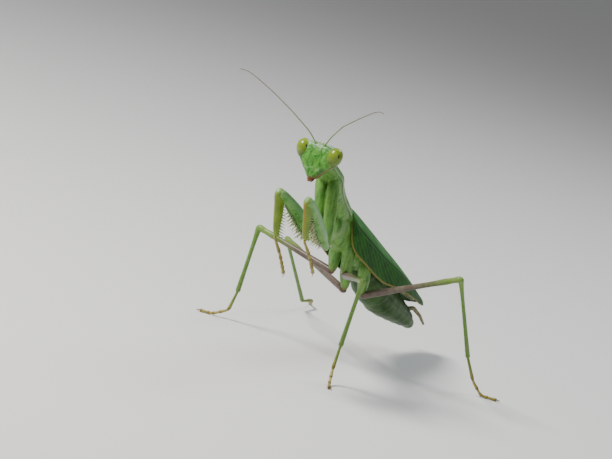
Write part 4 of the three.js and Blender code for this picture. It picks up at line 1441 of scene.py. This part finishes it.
# A net of small cross veins, and fine lengthwise lines on the back.
inputs = {"Vector": stretched((70, 60)), "Scale": 1.0}
net = tegmen_finish.add("ShaderNodeTexVoronoi", inputs, feature="DISTANCE_TO_EDGE").outputs["Distance"]
inputs = {"Vector": stretched((190, 7)), "Scale": 1.0, "Detail": 2}
lines = tegmen_finish.add("ShaderNodeTexNoise", inputs).outputs["Fac"]
# Painted light: the back of each fore wing is painted paler, for sky light falling on it from above.
back_green_painted_sky_light = tegmen_finish.mix("Blotch", (0.065, 0.22, 0.05), (0.115, 0.3, 0.1))
tegmen_material = (
    # The flank's dark ground green is partly her own colour and partly painted shade.
    tegmen_finish.ground("Blotch", (0.003, 0.036, 0.0008), (0.013, 0.095, 0.003))
    .lay(net, (0.04, 0.19, 0.02), stops=[(0.0, 0.45), (0.09, 0.0)])
    .lay("back", back_green_painted_sky_light)
    .lay(lines, (0.012, 0.1, 0.008), "back", [(0.45, 0.0), (0.62, 0.55)])
    .lay("vein", (0.08, 0.26, 0.05), 0.5)
    # Painted shade: a dark line along the groove beside the ridge.
    .lay("ridge_painted_shade", (0.002, 0.034, 0.004))
    # Painted shadow: a thin dark line along each hem, where one wing lies over the other.
    .lay("hem_painted_shadow", (0.012, 0.075, 0.01))
    .lay("front_edge", (0.22, 0.19, 0.04))
    .done()
)

u = np.linspace(0, 1, TEGMEN_ROWS_OF_POINTS)[:, None]
v = np.linspace(0, 1, TEGMEN_COLUMNS)
relief = np.zeros((len(u), len(v)))
for root, tip, height in VEINS:
    relief += height * bell(v - (root + (tip - root) * u), VEIN_WIDTH)
for start in BRANCH_STARTS:
    f = (u - start) / BRANCH_REACH
    middle = BRANCH_FROM + (BRANCH_TO - BRANCH_FROM) * f
    relief += ((f > 0) & (f < 1)) * BRANCH_HEIGHT * bell(v - middle, BRANCH_WIDTH)
wing_masks = {
    "vein": relief / 0.06,
    # The back's paler green is painted sky light.
    "back": rise(v, 0.46, 0.41) * 0.9,
    # Painted shade in the groove along the ridge.
    "ridge_painted_shade": bell(v - 0.475, 0.02) * 0.85,
    # Painted shadow along the inner hem.
    "hem_painted_shadow": rise(v, 0.02, 0.008) * 0.85,
    "front_edge": rise(v, 0.955, 0.975),
}
for side_name, side in SIDES:
    overlap = TEGMEN_OVERLAP[side_name]
    points, normal = wing_surface(side, TEGMEN_ROWS, TEGMEN_SECTION, TEGMEN_TOP, u, v, overlap)
    mesh = wing_mesh(f"tegmen_{side_name}", points, normal, relief, TEGMEN_THICKNESS)
    for mask_name, across in wing_masks.items():
        outer = np.broadcast_to(across, relief.shape)
        both = np.concatenate([outer, outer[:, ::-1]], axis=1).ravel()
        set_mask(mesh, mask_name, np.r_[both, 0, 0])
    add_piece(f"tegmen_{side_name}", mesh, tegmen_material, "tegmen", f"tegmen_{side_name}")

# Rows and section as on the fore wings.
HINDWING_ROWS = [
    (12.9, 0.85, 0.6),
    (16, 1, 0.9),
    (20, 1, 1),
    (26, 0.9, 0.8),
    (31, 0.6, 0.5),
    (35.5, 0.34, 0.2),
]
HINDWING_SECTION = [(0.0, 0.25, 0), (0.33, 1.1, 0.05), (0.66, 1.8, 0.5), (1.0, 2.15, 1.3)]
HINDWING_TOP = -0.6
HINDWING_THICKNESS = 0.05
PLEATS = 9
PLEAT_HEIGHT = 0.12
hindwing_material = (
    Finish("hindwing_membrane", 0.3, 0.4, blotch=900)
    .ground("Blotch", (0.3, 0.36, 0.2), (0.5, 0.52, 0.36))
    .done()
)
u = np.linspace(0, 1, 80)[:, None]
v = np.linspace(0, 1, 91)
pleats = PLEAT_HEIGHT * np.abs((v * PLEATS % 1) * 2 - 1)[None, :, None]
for side_name, side in SIDES:
    points, normal = wing_surface(side, HINDWING_ROWS, HINDWING_SECTION, HINDWING_TOP, u, v, 0)
    points = points + normal * pleats
    flat = np.zeros((len(u), len(v)))
    mesh = wing_mesh(f"hindwing_{side_name}", points, normal, flat, HINDWING_THICKNESS)
    add_piece(f"hindwing_{side_name}", mesh, hindwing_material, "hindwing", f"hindwing_{side_name}")
